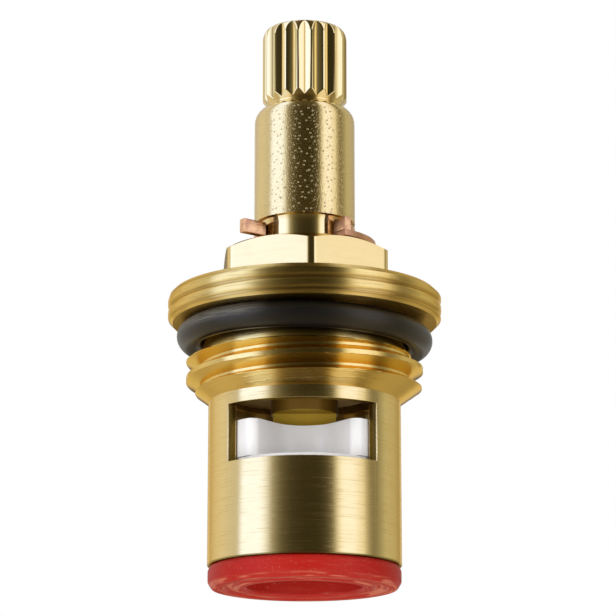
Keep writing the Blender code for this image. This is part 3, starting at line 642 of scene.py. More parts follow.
def red_rubber():
    """Moulded red rubber, rubbed pale in short streaks round its rim and face."""
    finish = Finish("red_rubber")
    sizes = bpy.context.scene.cartridge_rubber
    x, y, z = finish.axes()
    spot = finish.vector(x, y, z)
    radius = finish.maths("SQRT", x * x + y * y)
    flow = finish.vector(x * 0.35 + radius * 2.2, y * 0.35, z * 4.0)
    streak = finish.noise(flow, 1.0, detail=5.0, roughness=0.65)
    rubbed = finish.between(streak, 0.52, 0.74)
    grains = finish.between(finish.noise(spot, 5.0, detail=3.0), 0.62, 0.74)
    rings = finish.noise(finish.vector(radius * 4.5, x * 0.25, y * 0.25), 1.0, detail=2.0)
    outer = step_up(finish, radius, sizes.seal_bore / MM + 0.5, 0.4)
    on_face = step_down(finish, z, 0.36, 0.3) * outer
    wear = finish.maths("MAXIMUM", rubbed * 0.16, grains * 0.45)
    wear = finish.maths("MAXIMUM", wear, finish.between(rings, 0.48, 0.62) * on_face * 0.75)
    tint = finish.blend(wear, palette().red, palette().red_worn)
    normal = finish.bump(streak + finish.noise(spot, 4.0) * 0.4 + rings * on_face, 0.03 * MM)
    return finish.surface(
        base_color=tint,
        roughness=0.45 + rubbed * 0.2,
        normal=normal,
        specular_ior_level=0.3,
        specular_tint=palette().red_shine,
    )


def lapped_ceramic():
    """Fired white alumina, smooth and faintly cloudy."""
    finish = Finish("lapped_ceramic")
    x, y, z = finish.axes()
    spot = finish.vector(x, y, z)
    cloud = finish.noise(spot, 0.5, detail=4.0)
    grain = finish.noise(spot, 9.0, detail=2.0)
    tint = finish.blend(cloud * 0.3, palette().ceramic, palette().ceramic_cloud)
    normal = finish.bump(grain, 0.002 * MM)
    return finish.surface(base_color=tint, roughness=0.24 + grain * 0.1, normal=normal, specular_ior_level=0.3)


def acetal():
    """Natural acetal, smooth with faint mould marks."""
    finish = Finish("acetal")
    x, y, z = finish.axes()
    spot = finish.vector(x, y, z)
    cloud = finish.noise(spot, 0.6, detail=3.0)
    tint = finish.blend(cloud * 0.4, palette().plastic, palette().plastic_cloud)
    normal = finish.bump(ring_marks(finish, x, y, z, 0.0, 2.0), 0.004 * MM)
    return finish.surface(base_color=tint, roughness=0.38 + cloud * 0.12, normal=normal)


# The brass body


def body_profile(sizes):
    """Outer side from the hexagon down, then the bore back up."""
    hex_top = BODY_HIGH.z
    barrel_bottom = BODY_LOW.z
    chamfer = sizes.flange_chamfer
    rim = sizes.flange_radius
    crest = sizes.thread_crest
    bore = sizes.barrel_bore
    spindle_bore = 4.65 * MM
    foot_bottom = 16.8 * MM
    ceiling = 20.5 * MM
    break_edge = 0.2 * MM
    cone_top = HEX_CONE_RADIUS
    points = [
        (spindle_bore + 0.45 * MM, hex_top, EASE),
        (cone_top, hex_top),
        (sizes.hex_corner, cone_height(sizes.hex_corner)),
        (sizes.hex_corner, sizes.flange_top),
    ]
    points += rows((rim - chamfer, sizes.flange_top), (rim, sizes.flange_top - chamfer))
    points += rows((rim, sizes.flange_top - chamfer), (rim, sizes.flange_bottom + chamfer))
    points += rows((rim, sizes.flange_bottom + chamfer), (rim - chamfer, sizes.flange_bottom))
    points += [
        (rim - chamfer, sizes.flange_bottom),
        (sizes.neck_radius + 0.15 * MM, sizes.flange_bottom),
        (sizes.neck_radius, sizes.flange_bottom - 0.15 * MM),
    ]
    run_out, cone_start = thread_ends(sizes)
    for start, end in (
        ((sizes.neck_radius, sizes.thread_top), (crest, run_out)),
        ((crest, run_out), (crest, cone_start)),
        ((crest, cone_start), (sizes.barrel_radius, sizes.thread_bottom)),
    ):
        points += line(start, end, round((start[1] - end[1]) / THREAD_ROW))
    points += [
        (sizes.barrel_radius, sizes.thread_bottom),
        (sizes.barrel_radius, sizes.window_top),
        (sizes.barrel_radius, KEYWAY_TOP),
        (sizes.barrel_radius, sizes.window_bottom),
        (sizes.barrel_radius, barrel_bottom + RIM_BREAK),
        (sizes.barrel_radius - RIM_BREAK, barrel_bottom),
        (bore + break_edge, barrel_bottom, EASE),
        (bore, barrel_bottom + break_edge),
        (bore, sizes.window_bottom),
        (bore, KEYWAY_TOP),
        (bore, sizes.window_top),
        (bore, foot_bottom, EASE),
        (FOOT_BORE, foot_bottom),
        (FOOT_BORE, POCKET_TOP - POCKET_ROW),
        (FOOT_BORE, POCKET_TOP),
        (FOOT_BORE, ceiling),
        (spindle_bore + break_edge, ceiling),
        (spindle_bore, ceiling + break_edge),
        (spindle_bore, hex_top - 0.45 * MM, EASE),
    ]
    return softened(points)


HEX_CONE_RADIUS = 6.98 * MM
HEX_CONE_SLOPE = math.tan(math.radians(30.0))
LEAD_IN_SLOPE = 0.718
THREAD_RUN_OUT = 0.45 * MM
RIM_BREAK = 0.09 * MM
KEYWAY_TOP = 10.9 * MM
KEYWAY_HALF = 11.5
KEYWAY_DEPTH = 0.4 * MM
FOOT_BORE = 5.95 * MM
POCKET_TOP = 19.6 * MM
POCKET_ROW = 0.01 * MM
POCKET_HALF = 70.0
POCKET_RADIUS = 7.35 * MM
WINDOW_EASE = 0.06 * MM


def cone_height(radius):
    """Height of the chamfer cone of the hexagon at a radius."""
    return BODY_HIGH.z - (radius - HEX_CONE_RADIUS) * HEX_CONE_SLOPE


def thread_ends(sizes):
    """Heights between which the thread's crests have their full radius."""
    cone_height = (sizes.thread_crest - sizes.barrel_radius) * LEAD_IN_SLOPE
    return sizes.thread_top - THREAD_RUN_OUT, sizes.thread_bottom + cone_height


def off_middle(angle, first, step):
    """Angle to the nearest of several equally spaced directions."""
    return (angle - first + step / 2) % step - step / 2


def grind_hexagon(sizes):
    """Rule that flattens the turned collar on the flange to a chamfered hexagon."""
    flat_radius = sizes.hex_flats / 2
    first = math.degrees(sizes.hex_turn) + 30.0

    def rule(radius, angle, height):
        if height < sizes.flange_top - MERGE or not HEX_CONE_RADIUS + MERGE < radius <= sizes.hex_corner + MERGE:
            return None
        flat = flat_radius / math.cos(math.radians(off_middle(angle, first, 60.0)))
        on_flat = min(radius, flat)
        raised = cone_height(on_flat) if height > sizes.flange_top + MERGE else height
        return on_flat, raised

    return rule


def roll_ridges(sizes):
    """Rule for the fine right-hand ridges round the flange."""

    def rule(radius, angle, height):
        if not sizes.flange_bottom - MERGE < height < sizes.flange_top + MERGE:
            return None
        if radius < sizes.flange_radius - sizes.flange_chamfer - MERGE:
            return None
        crest = sizes.ridge_front + sizes.ridge_pitch * angle / 360.0
        depth = sizes.ridge_depth * scallop(height - crest, sizes.ridge_pitch) ** 3
        return min(radius, sizes.flange_radius - depth), height

    return rule


def cut_thread(sizes):
    """Rule for the right-hand pipe thread between the neck and the lead-in cone.

    The row of vertices nearest to an edge of the thread slides onto it, so that the
    edges run as clean helices.
    """
    half_flat = sizes.thread_flat / 2
    half_pitch = sizes.thread_pitch / 2
    flank = half_pitch - half_flat - sizes.thread_root / 2
    corners = (-half_flat - flank, -half_flat, half_flat, half_flat + flank)
    run_out, cone_start = thread_ends(sizes)

    def turned_radius(height):
        if height > run_out:
            share_left = (sizes.thread_top - height) / THREAD_RUN_OUT
            return sizes.neck_radius + (sizes.thread_crest - sizes.neck_radius) * share_left
        if height < cone_start:
            return sizes.barrel_radius + (height - sizes.thread_bottom) / LEAD_IN_SLOPE
        return sizes.thread_crest

    def rule(radius, angle, height):
        if not sizes.thread_bottom + MERGE < height < sizes.thread_top - MERGE or radius < sizes.barrel_radius:
            return None
        first = sizes.thread_front + sizes.thread_pitch * angle / 360.0
        crest = first + round((height - first) / sizes.thread_pitch) * sizes.thread_pitch
        burr = 0.0
        for corner in corners:
            if abs(height - crest - corner) <= THREAD_ROW / 2:
                height = crest + corner
                burr = sizes.thread_burr if abs(corner) < half_flat + MERGE else 0.0
        height = min(max(height, sizes.thread_bottom + MERGE), sizes.thread_top - MERGE)
        depth = sizes.thread_depth * min(max((abs(height - crest) - half_flat) / flank, 0.0), 1.0)
        return min(turned_radius(height), sizes.thread_crest - depth) + burr, height

    return rule


def mill_inside(sizes):
    """Rule for the keyways of the fixed disc and the pockets that stop the spindle."""
    bore = sizes.barrel_bore

    def rule(radius, angle, height):
        if abs(radius - bore) < MERGE and height < KEYWAY_TOP + MERGE:
            if abs(off_middle(angle, 90.0, 180.0)) <= KEYWAY_HALF:
                return bore + KEYWAY_DEPTH, height
        in_pocket = abs(off_middle(angle, 0.0, 180.0)) <= POCKET_HALF
        if in_pocket and abs(radius - FOOT_BORE) < MERGE and height < POCKET_TOP - MERGE:
            return POCKET_RADIUS, POCKET_TOP if height > POCKET_TOP - 2 * POCKET_ROW else height
        return None

    return rule


def open_windows(obj, sizes):
    """Take out the skin of the two windows, bridge the wall's edges and ease the outer rim."""
    half = math.degrees(sizes.window_half)
    centre = math.degrees(sizes.window_turn)
    middle_height = (sizes.window_top + sizes.window_bottom) / 2
    half_height = (sizes.window_top - sizes.window_bottom) / 2

    def in_window(face):
        middle = face.calc_center_median()
        inside = abs(middle.z - middle_height) < half_height and radius_of(middle) > sizes.barrel_bore * 0.98
        return inside and abs(off_middle(angle_of(middle), centre, 180.0)) < half

    edit(obj, "FACE")
    choose(obj, "faces", in_window)
    bpy.ops.mesh.delete(type="FACE")
    for side in (-1.0, 1.0):
        bpy.ops.mesh.select_mode(type="EDGE")
        choose(obj, "edges", lambda edge: edge.is_boundary and edge.verts[0].co.y * side > 0.0)
        bpy.ops.mesh.bridge_edge_loops()
    bpy.ops.mesh.select_all(action="SELECT")
    bpy.ops.mesh.normals_make_consistent(inside=False)

    def on_rim(edge):
        for rim in (sizes.barrel_radius, sizes.barrel_bore):
            if all(abs(radius_of(vertex.co) - rim) < 2 * MERGE for vertex in edge.verts):
                walls = [face for face in edge.link_faces if spans_wall(face)]
                return len(walls) == 1
        return False

    def spans_wall(face):
        reach = [radius_of(vertex.co) for vertex in face.verts]
        return max(reach) - min(reach) > 0.1 * MM

    choose(obj, "edges", on_rim)
    bpy.ops.mesh.bevel(offset=WINDOW_EASE, segments=2, affect="EDGES")
    deselect()


class CARTRIDGE_OT_body(Operator):
    """Turn the brass body, open its windows, grind the hexagon and cut the threads"""

    bl_idname = "cartridge.body"
    bl_label = "Brass body"

    def execute(self, context):
        sizes = context.scene.cartridge_body
        body = spin_piece("brass_body", body_profile(sizes))
        open_windows(body, sizes)
        for rule in (grind_hexagon(sizes), roll_ridges(sizes), cut_thread(sizes), mill_inside(sizes)):
            reshape(body, rule)
        complete(body, "housing", "turned_brass_body", turned_brass(), "body")
        return {"FINISHED"}


# The brass spindle


RING_GROOVES = (27.0 * MM, 23.6 * MM)
RING_GROOVE_HALF = 0.85 * MM
RING_GROOVE_RADIUS = 3.01 * MM
SCREW_HOLE_RADIUS = 2.1 * MM
SCREW_HOLE_DEPTH = 9.0 * MM
FOOT_RADIUS = 5.7 * MM
FOOT_TOP = 19.3 * MM
FOOT_BOTTOM = 17.0 * MM
LOBE_RADIUS = 7.2 * MM
LOBE_MIDDLE = 45.0
LOBE_HALF = 22.5
LOBE_RELIEF = 0.15 * MM
JOURNAL_RADIUS = 2.946 * MM
JOURNAL_BOTTOM = 15.3 * MM
TANG_HALF_LENGTH = 2.75 * MM
TANG_HALF_THICKNESS = 1.0 * MM
TANG_CHAMFER = 0.1 * MM
HEAD_BEVEL = 0.4 * MM
UNDERCUT_DEPTH = 0.14 * MM
STEM_STRAIGHT_TOP = 42.0 * MM
# Radius and height of the rounded top of the stem, in millimetres
STEM_ROUNDING = ((3.80, 43.29), (4.00, 43.14), (4.19, 42.94), (4.33, 42.72), (4.40, 42.56), (4.47, 42.30))
COLLAR_TOP = BODY_HIGH.z - 0.45 * MM


def spindle_profile(sizes):
    """Screw hole, domed head, undercut, stem, neck, ring grooves, foot, journal and tang."""
    top = SPINDLE_HIGH.z
    hole_bottom = top - SCREW_HOLE_DEPTH
    countersink = 0.4 * MM
    points = [
        (0.0, hole_bottom - SCREW_HOLE_RADIUS / 2),
        (SCREW_HOLE_RADIUS, hole_bottom),
        (SCREW_HOLE_RADIUS, top - countersink, EASE),
        (SCREW_HOLE_RADIUS + countersink, top, EASE),
    ]
    dome_rows = 26
    for i in range(dome_rows + 1):
        angle = math.pi / 2 * (1 - i / dome_rows)
        radius = sizes.head_radius - sizes.dome_width * (1 - math.cos(angle))
        points.append((radius, top - sizes.dome_height * (1 - math.sin(angle))))
    undercut = sizes.root_radius - UNDERCUT_DEPTH
    bevel_top = (sizes.head_radius, sizes.head_bottom + HEAD_BEVEL)
    valley = sizes.head_bottom - 0.27 * MM
    points += line(bevel_top, (undercut, valley), 16)
    points += [(undercut, valley), (undercut, valley - 0.08 * MM)]
    points += [(radius * MM, height * MM) for radius, height in STEM_ROUNDING]
    points += [
        (sizes.stem_radius, STEM_STRAIGHT_TOP),
        (sizes.stem_radius, sizes.shoulder, EASE),
        (sizes.neck_radius + 0.2 * MM, sizes.shoulder),
        (sizes.neck_radius, sizes.shoulder - 0.42 * MM),
        (sizes.neck_radius, COLLAR_TOP),
        (sizes.stem_radius, COLLAR_TOP, EASE),
    ]
    for height in RING_GROOVES:
        points += [
            (sizes.stem_radius, height + RING_GROOVE_HALF),
            (RING_GROOVE_RADIUS, height + RING_GROOVE_HALF),
            (RING_GROOVE_RADIUS, height - RING_GROOVE_HALF),
            (sizes.stem_radius, height - RING_GROOVE_HALF),
        ]
    points += [
        (sizes.stem_radius, FOOT_TOP),
        (FOOT_RADIUS, FOOT_TOP),
        (FOOT_RADIUS, FOOT_TOP - LOBE_RELIEF),
        (FOOT_RADIUS, FOOT_TOP - LOBE_RELIEF - POCKET_ROW),
        (FOOT_RADIUS, FOOT_BOTTOM + LOBE_RELIEF + POCKET_ROW),
        (FOOT_RADIUS, FOOT_BOTTOM + LOBE_RELIEF),
        (FOOT_RADIUS, FOOT_BOTTOM, EASE),
        (JOURNAL_RADIUS, FOOT_BOTTOM),
        (JOURNAL_RADIUS, JOURNAL_BOTTOM),
        (JOURNAL_RADIUS - POCKET_ROW, JOURNAL_BOTTOM - POCKET_ROW),
        (JOURNAL_RADIUS - POCKET_ROW, SPINDLE_LOW.z + TANG_CHAMFER),
        (JOURNAL_RADIUS - POCKET_ROW, SPINDLE_LOW.z),
        (0.0, SPINDLE_LOW.z),
    ]
    return softened(points, closed=False)


def broach_spline(sizes):
    """Rule for the V valleys of the head, one of them facing the front."""
    pitch = 360.0 / sizes.teeth
    crest_half = 1.0  # degrees

    def rule(radius, angle, height):
        if height < sizes.stem_top + 0.1 * MM or radius < sizes.root_radius - MERGE:
            return None
        off = abs(off_middle(angle, 0.0, pitch))
        rise = min(1.0, off / (pitch / 2 - crest_half))
        valley = sizes.root_radius + (sizes.head_radius - sizes.root_radius) * rise
        return min(radius, valley), height

    return rule


def mill_foot():
    """Rule for the two stop lobes of the foot and for the flat tang below the journal."""
    low = FOOT_BOTTOM + LOBE_RELIEF + MERGE
    high = FOOT_TOP - LOBE_RELIEF - MERGE

    def rule(radius, angle, height):
        if low < height < high and abs(radius - FOOT_RADIUS) < MERGE:
            if abs(off_middle(angle, LOBE_MIDDLE, 180.0)) <= LOBE_HALF:
                return LOBE_RADIUS, height
        if height < JOURNAL_BOTTOM - POCKET_ROW / 2:
            turned = math.radians(angle)
            to_end = TANG_HALF_LENGTH / max(abs(math.sin(turned)), 0.001)
            to_side = TANG_HALF_THICKNESS / max(abs(math.cos(turned)), 0.001)
            inset = TANG_CHAMFER if height < SPINDLE_LOW.z + TANG_CHAMFER / 2 else 0.0
            raised = JOURNAL_BOTTOM if height > JOURNAL_BOTTOM - 2 * POCKET_ROW else height
            return min(to_end, to_side) - inset, raised
        return None

    return rule


class CARTRIDGE_OT_spindle(Operator):
    """Turn the brass spindle, broach its spline and mill its stop lobes and tang"""

    bl_idname = "cartridge.spindle"
    bl_label = "Brass spindle"

    def execute(self, context):
        sizes = context.scene.cartridge_spindle
        spindle = spin_piece("brass_spindle", spindle_profile(sizes))
        reshape(spindle, broach_spline(sizes))
        reshape(spindle, mill_foot())
        complete(spindle, "rotor", "turned_brass_spindle", pitted_brass(), "spindle")
        return {"FINISHED"}


# Clip and washer of copper alloy


CLIP_BORE = 3.86 * MM
CLIP_STRIP = 0.66 * MM
CLIP_DROP = 0.1 * MM
CLIP_BEND = 0.45 * MM
LEFT_EAR = (-53.0, 2.78 * MM)
RIGHT_EAR = (37.0, 1.98 * MM)
WASHER_MOUTH = -32.0
WASHER_MOUTH_HALF = 66.0


def arc(radius, start, end, count):
    return [polar(radius, start + (end - start) * i / count) for i in range(count + 1)]


def bend(centre, start, end, count=5):
    """Round a corner of the clip from one point to another about a centre."""
    first, last = start - centre, end - centre
    radius = first.length
    return [centre + first.lerp(last, i / count).normalized() * radius for i in range(count + 1)]


def clip_ear(ear, side):
    """Inner and outer points of one ear, both from its tip towards the ring."""
    angle, reach = ear
    outward = polar(1.0, angle)
    along = polar(1.0, angle + 90.0) * side
    tip = outward * (CLIP_BORE + reach)
    outer_centre = outward * (CLIP_BORE + CLIP_STRIP + CLIP_BEND) + along * (CLIP_STRIP + CLIP_BEND)
    inner = [tip, outward * (CLIP_BORE + CLIP_BEND)]
    outer = bend(outer_centre, outer_centre - along * CLIP_BEND, outer_centre - outward * CLIP_BEND)
    return inner, [tip + along * CLIP_STRIP] + outer


def clip_outline():
    """Ring of strip with both ends turned outwards."""
    right_inner, right_outer = clip_ear(RIGHT_EAR, 1.0)
    left_inner, left_outer = clip_ear(LEFT_EAR, -1.0)
    outside_start = angle_of(right_outer[-1])
    outside_end = angle_of(left_outer[-1]) + 360.0
    lead = math.degrees(CLIP_BEND / CLIP_BORE)
    outside = arc(CLIP_BORE + CLIP_STRIP, outside_start + 1.0, outside_end - 1.0, 90)
    inside = arc(CLIP_BORE, LEFT_EAR[0] + 360.0 - lead, RIGHT_EAR[0] + lead, 90)
    return right_inner[::-1] + right_outer + outside + left_outer[::-1] + left_inner + inside


class CARTRIDGE_OT_clip(Operator):
    """Bend the open clip of copper alloy strip that keeps the spindle in"""

    bl_idname = "cartridge.clip"
    bl_label = "Retaining clip"

    def execute(self, context):
        clip = plate("copper_clip", clip_outline(), CLIP_LOW.z - CLIP_DROP / 2, CLIP_HIGH.z - CLIP_DROP, 0.06 * MM)
        complete(clip, "rotor", "copper_clip", copper_alloy("copper_strip", 0.0), "retaining_clip")
        return {"FINISHED"}


class CARTRIDGE_OT_washer(Operator):
    """Stamp the open washer that lies on the hexagon under the clip"""

    bl_idname = "cartridge.washer"
    bl_label = "Slip washer"

    def execute(self, context):
        start = WASHER_MOUTH + WASHER_MOUTH_HALF
        end = WASHER_MOUTH + 360.0 - WASHER_MOUTH_HALF
        outer = max(WASHER_HIGH.y, WASHER_HIGH.x)
        outline = arc(outer, start, end, 120) + arc(CLIP_BORE, end, start, 90)
        washer = plate("copper_washer", outline, WASHER_LOW.z, WASHER_HIGH.z, 0.07 * MM)
        complete(washer, "housing", "copper_washer", copper_alloy("copper_sheet", 0.75), "slip_washer")
        return {"FINISHED"}


# Rubber ring and seal


class CARTRIDGE_OT_ring(Operator):
    """Lay the black rubber ring in the groove under the flange, leaning a little"""

    bl_idname = "cartridge.ring"
    bl_label = "Flange ring"

    def execute(self, context):
        sizes = context.scene.cartridge_rubber
        section = RING_HIGH.z - RING_LOW.z
        middle = (RING_HIGH.z + RING_LOW.z) / 2 - 0.05 * MM
        deselect()
        bpy.ops.mesh.primitive_torus_add(
            major_segments=240,
            minor_segments=48,
            major_radius=RING_HIGH.x - section / 2,
            minor_radius=section / 2,
            location=(0.0, 0.0, middle),
            rotation=(0.0, sizes.ring_tilt, 0.0),
        )
        ring = context.object
        ring.name = "rubber_ring"
        ring.data.name = "rubber_ring"
        settle(ring)
        complete(ring, "housing", "black_rubber", black_rubber(), "body_o_ring")
        return {"FINISHED"}


def seal_profile(sizes):
    """Moulded profile of the seal: sleeve, skirt and a face with two fine rings."""
    top = SEAL_HIGH.z
    outer = SEAL_HIGH.x
    face = outer - 0.35 * MM
    bore = sizes.seal_bore
    sleeve = 7.35 * MM
    pocket = 6.55 * MM
    lip = 0.95 * MM
    dip = 0.25 * MM
    floor = 2.3 * MM
    skirt = sizes.seal_skirt
    soft = 0.12 * MM
    return softened([
        (pocket, top, EASE),
        (sleeve, top, EASE),
        (sleeve, skirt),
        (outer - 0.2 * MM, skirt, soft),
        (outer, skirt - 0.4 * MM, soft),
        (outer, 0.55 * MM, soft),
        (face, 0.0, soft),
        (face - lip, 0.0, soft),
        (face - lip - dip, dip, soft),
        (bore + lip + dip, dip, soft),
        (bore + lip, 0.0, soft),
        (bore + 0.15 * MM, 0.0, soft),
        (bore, 0.25 * MM, EASE),
        (bore, floor),
        (pocket, floor),
    ])


class CARTRIDGE_OT_seal(Operator):
    """Mould the red rubber seal below the barrel"""

    bl_idname = "cartridge.seal"
    bl_label = "Inlet seal"

    def execute(self, context):
        seal = spin_piece("red_seal", seal_profile(context.scene.cartridge_rubber))
        complete(seal, "housing", "red_rubber", red_rubber(), "inlet_seal")
        return {"FINISHED"}


# Ceramic discs


MOVING_WAIST = 4.4 * MM
NOTCH_FILLET = 3.0 * MM
NOTCH_FLANK = math.radians(37.0)
LOBE_TIP = 0.8 * MM
PORT_INNER = 2.4 * MM
PORT_OUTER = 5.25 * MM
PORT_HALF = 36.0
EAR_HALF = 9.0
EAR_RADIUS = 7.8 * MM
MOVING_RADIUS = 7.35 * MM
FIXED_RADIUS = 7.25 * MM
SEAM = 0.03 * MM
SLOT_SIZE = (5.8 * MM, 2.3 * MM, 3.2 * MM)


def round_corner(centre, radius, start, end, count):
    points = []
    for i in range(count + 1):
        angle = start + (end - start) * i / count
        points.append(centre + Vector((math.cos(angle), math.sin(angle), 0.0)) * radius)
    return points


def butterfly_outline(rim):
    """Moving disc: two lobes joined by a waist, with a rounded notch front and back."""
    along = Vector((math.sin(NOTCH_FLANK), -math.cos(NOTCH_FLANK), 0.0))
    into_lobe = Vector((math.cos(NOTCH_FLANK), math.sin(NOTCH_FLANK), 0.0))
    fillet_centre = Vector((0.0, -(MOVING_WAIST / 2 + NOTCH_FILLET), 0.0))
    reach = rim - LOBE_TIP
    base = fillet_centre + into_lobe * (NOTCH_FILLET + LOBE_TIP)
    half_b = base.dot(along)
    run = -half_b + math.sqrt(half_b * half_b - base.dot(base) + reach * reach)
    tip_centre = base + along * run
    rim_turn = math.atan2(tip_centre.y, tip_centre.x)
    tip = round_corner(tip_centre, LOBE_TIP, math.atan2(-into_lobe.y, -into_lobe.x), rim_turn, 12)
    notch_start = math.pi - NOTCH_FLANK
    notch = round_corner(fillet_centre, NOTCH_FILLET, notch_start, math.pi - notch_start, 30)
    left_tip = [Vector((-point.x, point.y, 0.0)) for point in tip[::-1]]
    front = left_tip + notch + tip
    rim_angle = angle_of(front[-1])
    half = front + arc(rim, rim_angle, 180.0 - rim_angle, 60)[1:-1]
    return half + [-point for point in half]


def sector(inner, outer, middle, half, count=30):
    outside = arc(outer, middle - half, middle + half, count)
    return outside + arc(inner, middle + half, middle - half, count)


class CARTRIDGE_OT_discs(Operator):
    """Press the butterfly disc with its slot, and the fixed disc with its two ports"""

    bl_idname = "cartridge.discs"
    bl_label = "Ceramic discs"

    def execute(self, context):
        finish = lapped_ceramic()
        outline = butterfly_outline(MOVING_RADIUS)
        moving = plate("butterfly_disc", outline, FIXED_HIGH.z + SEAM, MOVING_HIGH.z, 0.04 * MM)
        deselect()
        bpy.ops.mesh.primitive_cube_add(size=1.0, location=(0.0, 0.0, MOVING_HIGH.z))
        slot = context.object
        slot.scale = SLOT_SIZE
        settle(slot)
        carve(moving, slot)
        complete(moving, "rotor", "white_ceramic", finish, "moving_disc")
        outline = arc(EAR_RADIUS, 90.0 - EAR_HALF, 90.0 + EAR_HALF, 8)
        outline += arc(FIXED_RADIUS, 90.0 + EAR_HALF, 270.0 - EAR_HALF, 90)
        fixed = plate("port_disc", outline + [-point for point in outline], FIXED_LOW.z, FIXED_HIGH.z, 0.05 * MM)
        for middle in (0.0, 180.0):
            port = sector(PORT_INNER, PORT_OUTER, middle, PORT_HALF)
            cutter = plate("port_cutter", port, FIXED_LOW.z - MM, FIXED_HIGH.z + MM, 0.0)
            carve(fixed, cutter)
        complete(fixed, "housing", "white_ceramic", finish, "fixed_disc")
        return {"FINISHED"}


class CARTRIDGE_OT_inner_pieces(Operator):
    """Give the pieces inside, which keep the shapes of the frame, their finishes"""

    bl_idname = "cartridge.inner_pieces"
    bl_label = "Inner pieces"

    def execute(self, context):
        plastic = acetal()
        rubber = black_rubber()
        finishes = {
            "friction_washer": plastic,
            "seal_support_ring": plastic,
            "spindle_o_ring_upper": rubber,
            "spindle_o_ring_lower": rubber,
        }
        for name, finish in finishes.items():
            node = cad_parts[name]
            node.data.materials.clear()
            node.data.materials.append(finish)
        return {"FINISHED"}


# Stage


def soft_box(name, spot, width, height, strength):
    """A soft box that faces the object and lights its dull surfaces."""
    bpy.ops.object.light_add(type="AREA", location=spot)
    lamp = bpy.context.object
    lamp.name = name
    lamp.data.shape = "RECTANGLE"
    lamp.data.size = width
    lamp.data.size_y = height
    lamp.data.energy = strength * math.pi * width * height
    aim = Vector((0.0, 0.0, 0.02)) - spot
    lamp.rotation_euler = aim.to_track_quat("-Z", "Y").to_euler()
    lamp.visible_camera = False
    lamp.visible_glossy = False


# What bright metal mirrors, by the angle round the room: a dark room in front, a soft box on
# either side and pale walls beyond them
ROOM_DEPTH = 0.6
ROOM = (
    (-180.0, (0.22, 0.20, 0.17)),
    (-158.0, (0.22, 0.20, 0.17)),
    (-148.0, (0.80, 0.78, 0.72)),
    (-130.0, (0.80, 0.78, 0.72)),
    (-118.0, (0.58, 0.54, 0.50)),
    (-95.0, (0.80, 0.76, 0.72)),
    (-77.0, (0.86, 0.82, 0.78)),
    (-56.0, (0.70, 0.70, 0.72)),
    (-51.0, (1.32, 1.56, 2.60)),
    (-33.5, (1.32, 1.56, 2.60)),
    (-29.0, (1.10, 1.20, 1.60)),
    (-24.5, (0.42, 0.40, 0.36)),
    (-18.0, (0.14, 0.13, 0.09)),
    (-10.0, (0.06, 0.052, 0.034)),
    (0.0, (0.040, 0.035, 0.019)),
    (10.0, (0.040, 0.035, 0.019)),
    (16.0, (0.07, 0.062, 0.040)),
    (21.5, (0.22, 0.20, 0.14)),
    (25.5, (1.05, 1.03, 1.0)),
    (28.5, (1.30, 1.38, 1.85)),
    (39.0, (1.30, 1.38, 1.85)),
    (43.0, (1.14, 1.14, 1.32)),
    (47.5, (1.08, 1.06, 1.05)),
    (51.0, (0.56, 0.52, 0.41)),
    (57.0, (0.25, 0.22, 0.16)),
    (64.0, (0.34, 0.32, 0.24)),
    (75.0, (0.62, 0.60, 0.46)),
    (95.0, (0.60, 0.57, 0.48)),
    (122.0, (0.42, 0.40, 0.37)),
    (135.0, (0.80, 0.78, 0.72)),
    (148.0, (0.80, 0.78, 0.72)),
    (160.0, (0.22, 0.20, 0.17)),
)
# Tints of what lies below and above the room's horizon
LOW_TINT = (0.95, 0.84, 0.58)
DUSK = (0.36, 0.29, 0.16)
WHITE = (1.0, 1.0, 1.0)
FLOOR_TINTS = ((0.80, 0.80, 0.79), (0.84, 0.84, 0.83))
SIDE_BOX_TURN = 42.0
SIDE_BOX_HEIGHT = 0.12


def studio_world():
    """White behind the object for the camera, and the room that bright metal mirrors."""
    world = bpy.data.worlds.new("studio")
    world.use_nodes = True
    bpy.context.scene.world = world
    world.cycles_visibility.diffuse = False
    finish = Finish("studio", world.node_tree)
    way = finish.node("ShaderNodeTexCoord", {}, {}, output=0)
    split = finish.tree.nodes.new("ShaderNodeSeparateXYZ")
    finish.plug(split.inputs[0], way)
    x, y, z = [Value(finish, split.outputs[i]) for i in range(3)]
    round_room = finish.maths("ARCTAN2", x, ROOM_DEPTH - y) * (0.5 / math.pi) + 0.5
    stops = [(0.5 + degrees / 360.0, tone) for degrees, tone in ROOM]
    room = finish.node("ShaderNodeValToRGB", {"stops": stops}, {0: round_room})
    below = finish.between(z * -1.0, 0.0, 0.8)
    above = finish.between(z, 0.45, 0.95)
    room = finish.blend(below, room, LOW_TINT, "MULTIPLY")
    room = finish.blend(below * 0.28 + above * 0.16, room, DUSK)
    camera = finish.node("ShaderNodeLightPath", {}, {}, output=0)
    background = finish.tree.nodes["Background"]
    finish.plug(background.inputs["Color"], finish.blend(camera, room, WHITE))


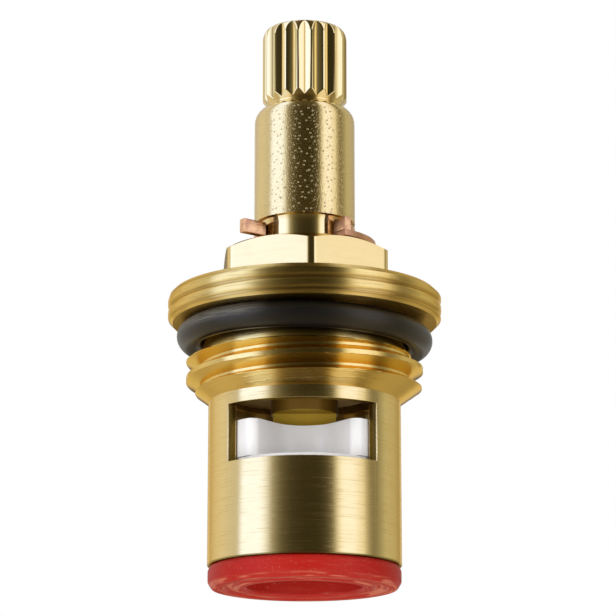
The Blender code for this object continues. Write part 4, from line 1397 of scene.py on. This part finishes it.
class CARTRIDGE_OT_stage(Operator):
    """Set the floor, the soft boxes and the camera that looks up at the cartridge"""

    bl_idname = "cartridge.stage"
    bl_label = "Stage"

    def execute(self, context):
        stage = context.scene.cartridge_stage
        deselect()
        bpy.ops.mesh.primitive_circle_add(
            vertices=96, radius=3.0, fill_type="NGON", location=(0.0, 0.0, stage.floor_height)
        )
        floor = context.object
        floor.name = "floor"
        finish = Finish("pale_floor")
        x, y, z = finish.axes()
        mottle = finish.noise(finish.vector(x, y, z), 0.02, detail=3.0)
        tint = finish.blend(mottle, *FLOOR_TINTS)
        floor.data.materials.append(finish.surface(base_color=tint, roughness=0.6))
        floor.visible_glossy = False
        left = polar(stage.lamp_distance, -SIDE_BOX_TURN, SIDE_BOX_HEIGHT)
        right = polar(stage.lamp_distance, SIDE_BOX_TURN, SIDE_BOX_HEIGHT)
        soft_box("left_box", left, 0.4, 1.0, stage.left_lamp)
        soft_box("right_box", right, 0.4, 1.0, stage.right_lamp)
        soft_box("top_box", polar(0.2, 0.0, 0.9), 0.9, 0.9, stage.top_lamp)
        soft_box("low_box", polar(0.06, 0.0, stage.low_height), 0.4, 0.3, stage.low_lamp)
        studio_world()
        camera = bpy.data.objects.new("camera", bpy.data.cameras.new("camera"))
        context.scene.collection.objects.link(camera)
        camera.location = (stage.camera_side, -stage.camera_distance, stage.camera_height)
        camera.rotation_euler = (math.pi / 2 + stage.camera_pitch, 0.0, 0.0)
        camera.data.lens = stage.lens
        camera.data.sensor_width = 36.0
        camera.data.clip_start = 0.01
        camera.data.clip_end = 10.0
        context.scene.camera = camera
        context.scene.view_settings.view_transform = "Standard"
        return {"FINISHED"}


class CARTRIDGE_PT_panel(Panel):
    """Lists the pieces in the sidebar"""

    bl_label = "Tap cartridge"
    bl_idname = "CARTRIDGE_PT_panel"
    bl_space_type = "VIEW_3D"
    bl_region_type = "UI"
    bl_category = "Cartridge"

    def draw(self, context):
        for operator in OPERATORS:
            self.layout.operator(operator.bl_idname)


GROUPS = {
    "cartridge_body": BodySizes,
    "cartridge_spindle": SpindleSizes,
    "cartridge_rubber": RubberSizes,
    "cartridge_colours": Colours,
    "cartridge_stage": StageSizes,
}
OPERATORS = (
    CARTRIDGE_OT_body,
    CARTRIDGE_OT_spindle,
    CARTRIDGE_OT_clip,
    CARTRIDGE_OT_washer,
    CARTRIDGE_OT_ring,
    CARTRIDGE_OT_seal,
    CARTRIDGE_OT_discs,
    CARTRIDGE_OT_inner_pieces,
    CARTRIDGE_OT_stage,
)


def register():
    for group in GROUPS.values():
        bpy.utils.register_class(group)
    for name, group in GROUPS.items():
        setattr(bpy.types.Scene, name, PointerProperty(type=group))
    for operator in OPERATORS:
        bpy.utils.register_class(operator)
    bpy.utils.register_class(CARTRIDGE_PT_panel)


def unregister():
    bpy.utils.unregister_class(CARTRIDGE_PT_panel)
    for operator in reversed(OPERATORS):
        bpy.utils.unregister_class(operator)
    for name in GROUPS:
        delattr(bpy.types.Scene, name)
    for group in reversed(GROUPS.values()):
        bpy.utils.unregister_class(group)


def main():
    register()
    bpy.ops.cartridge.body()
    bpy.ops.cartridge.spindle()
    bpy.ops.cartridge.clip()
    bpy.ops.cartridge.washer()
    bpy.ops.cartridge.ring()
    bpy.ops.cartridge.seal()
    bpy.ops.cartridge.discs()
    bpy.ops.cartridge.inner_pieces()
    bpy.ops.cartridge.stage()


if __name__ == "__main__":
    main()
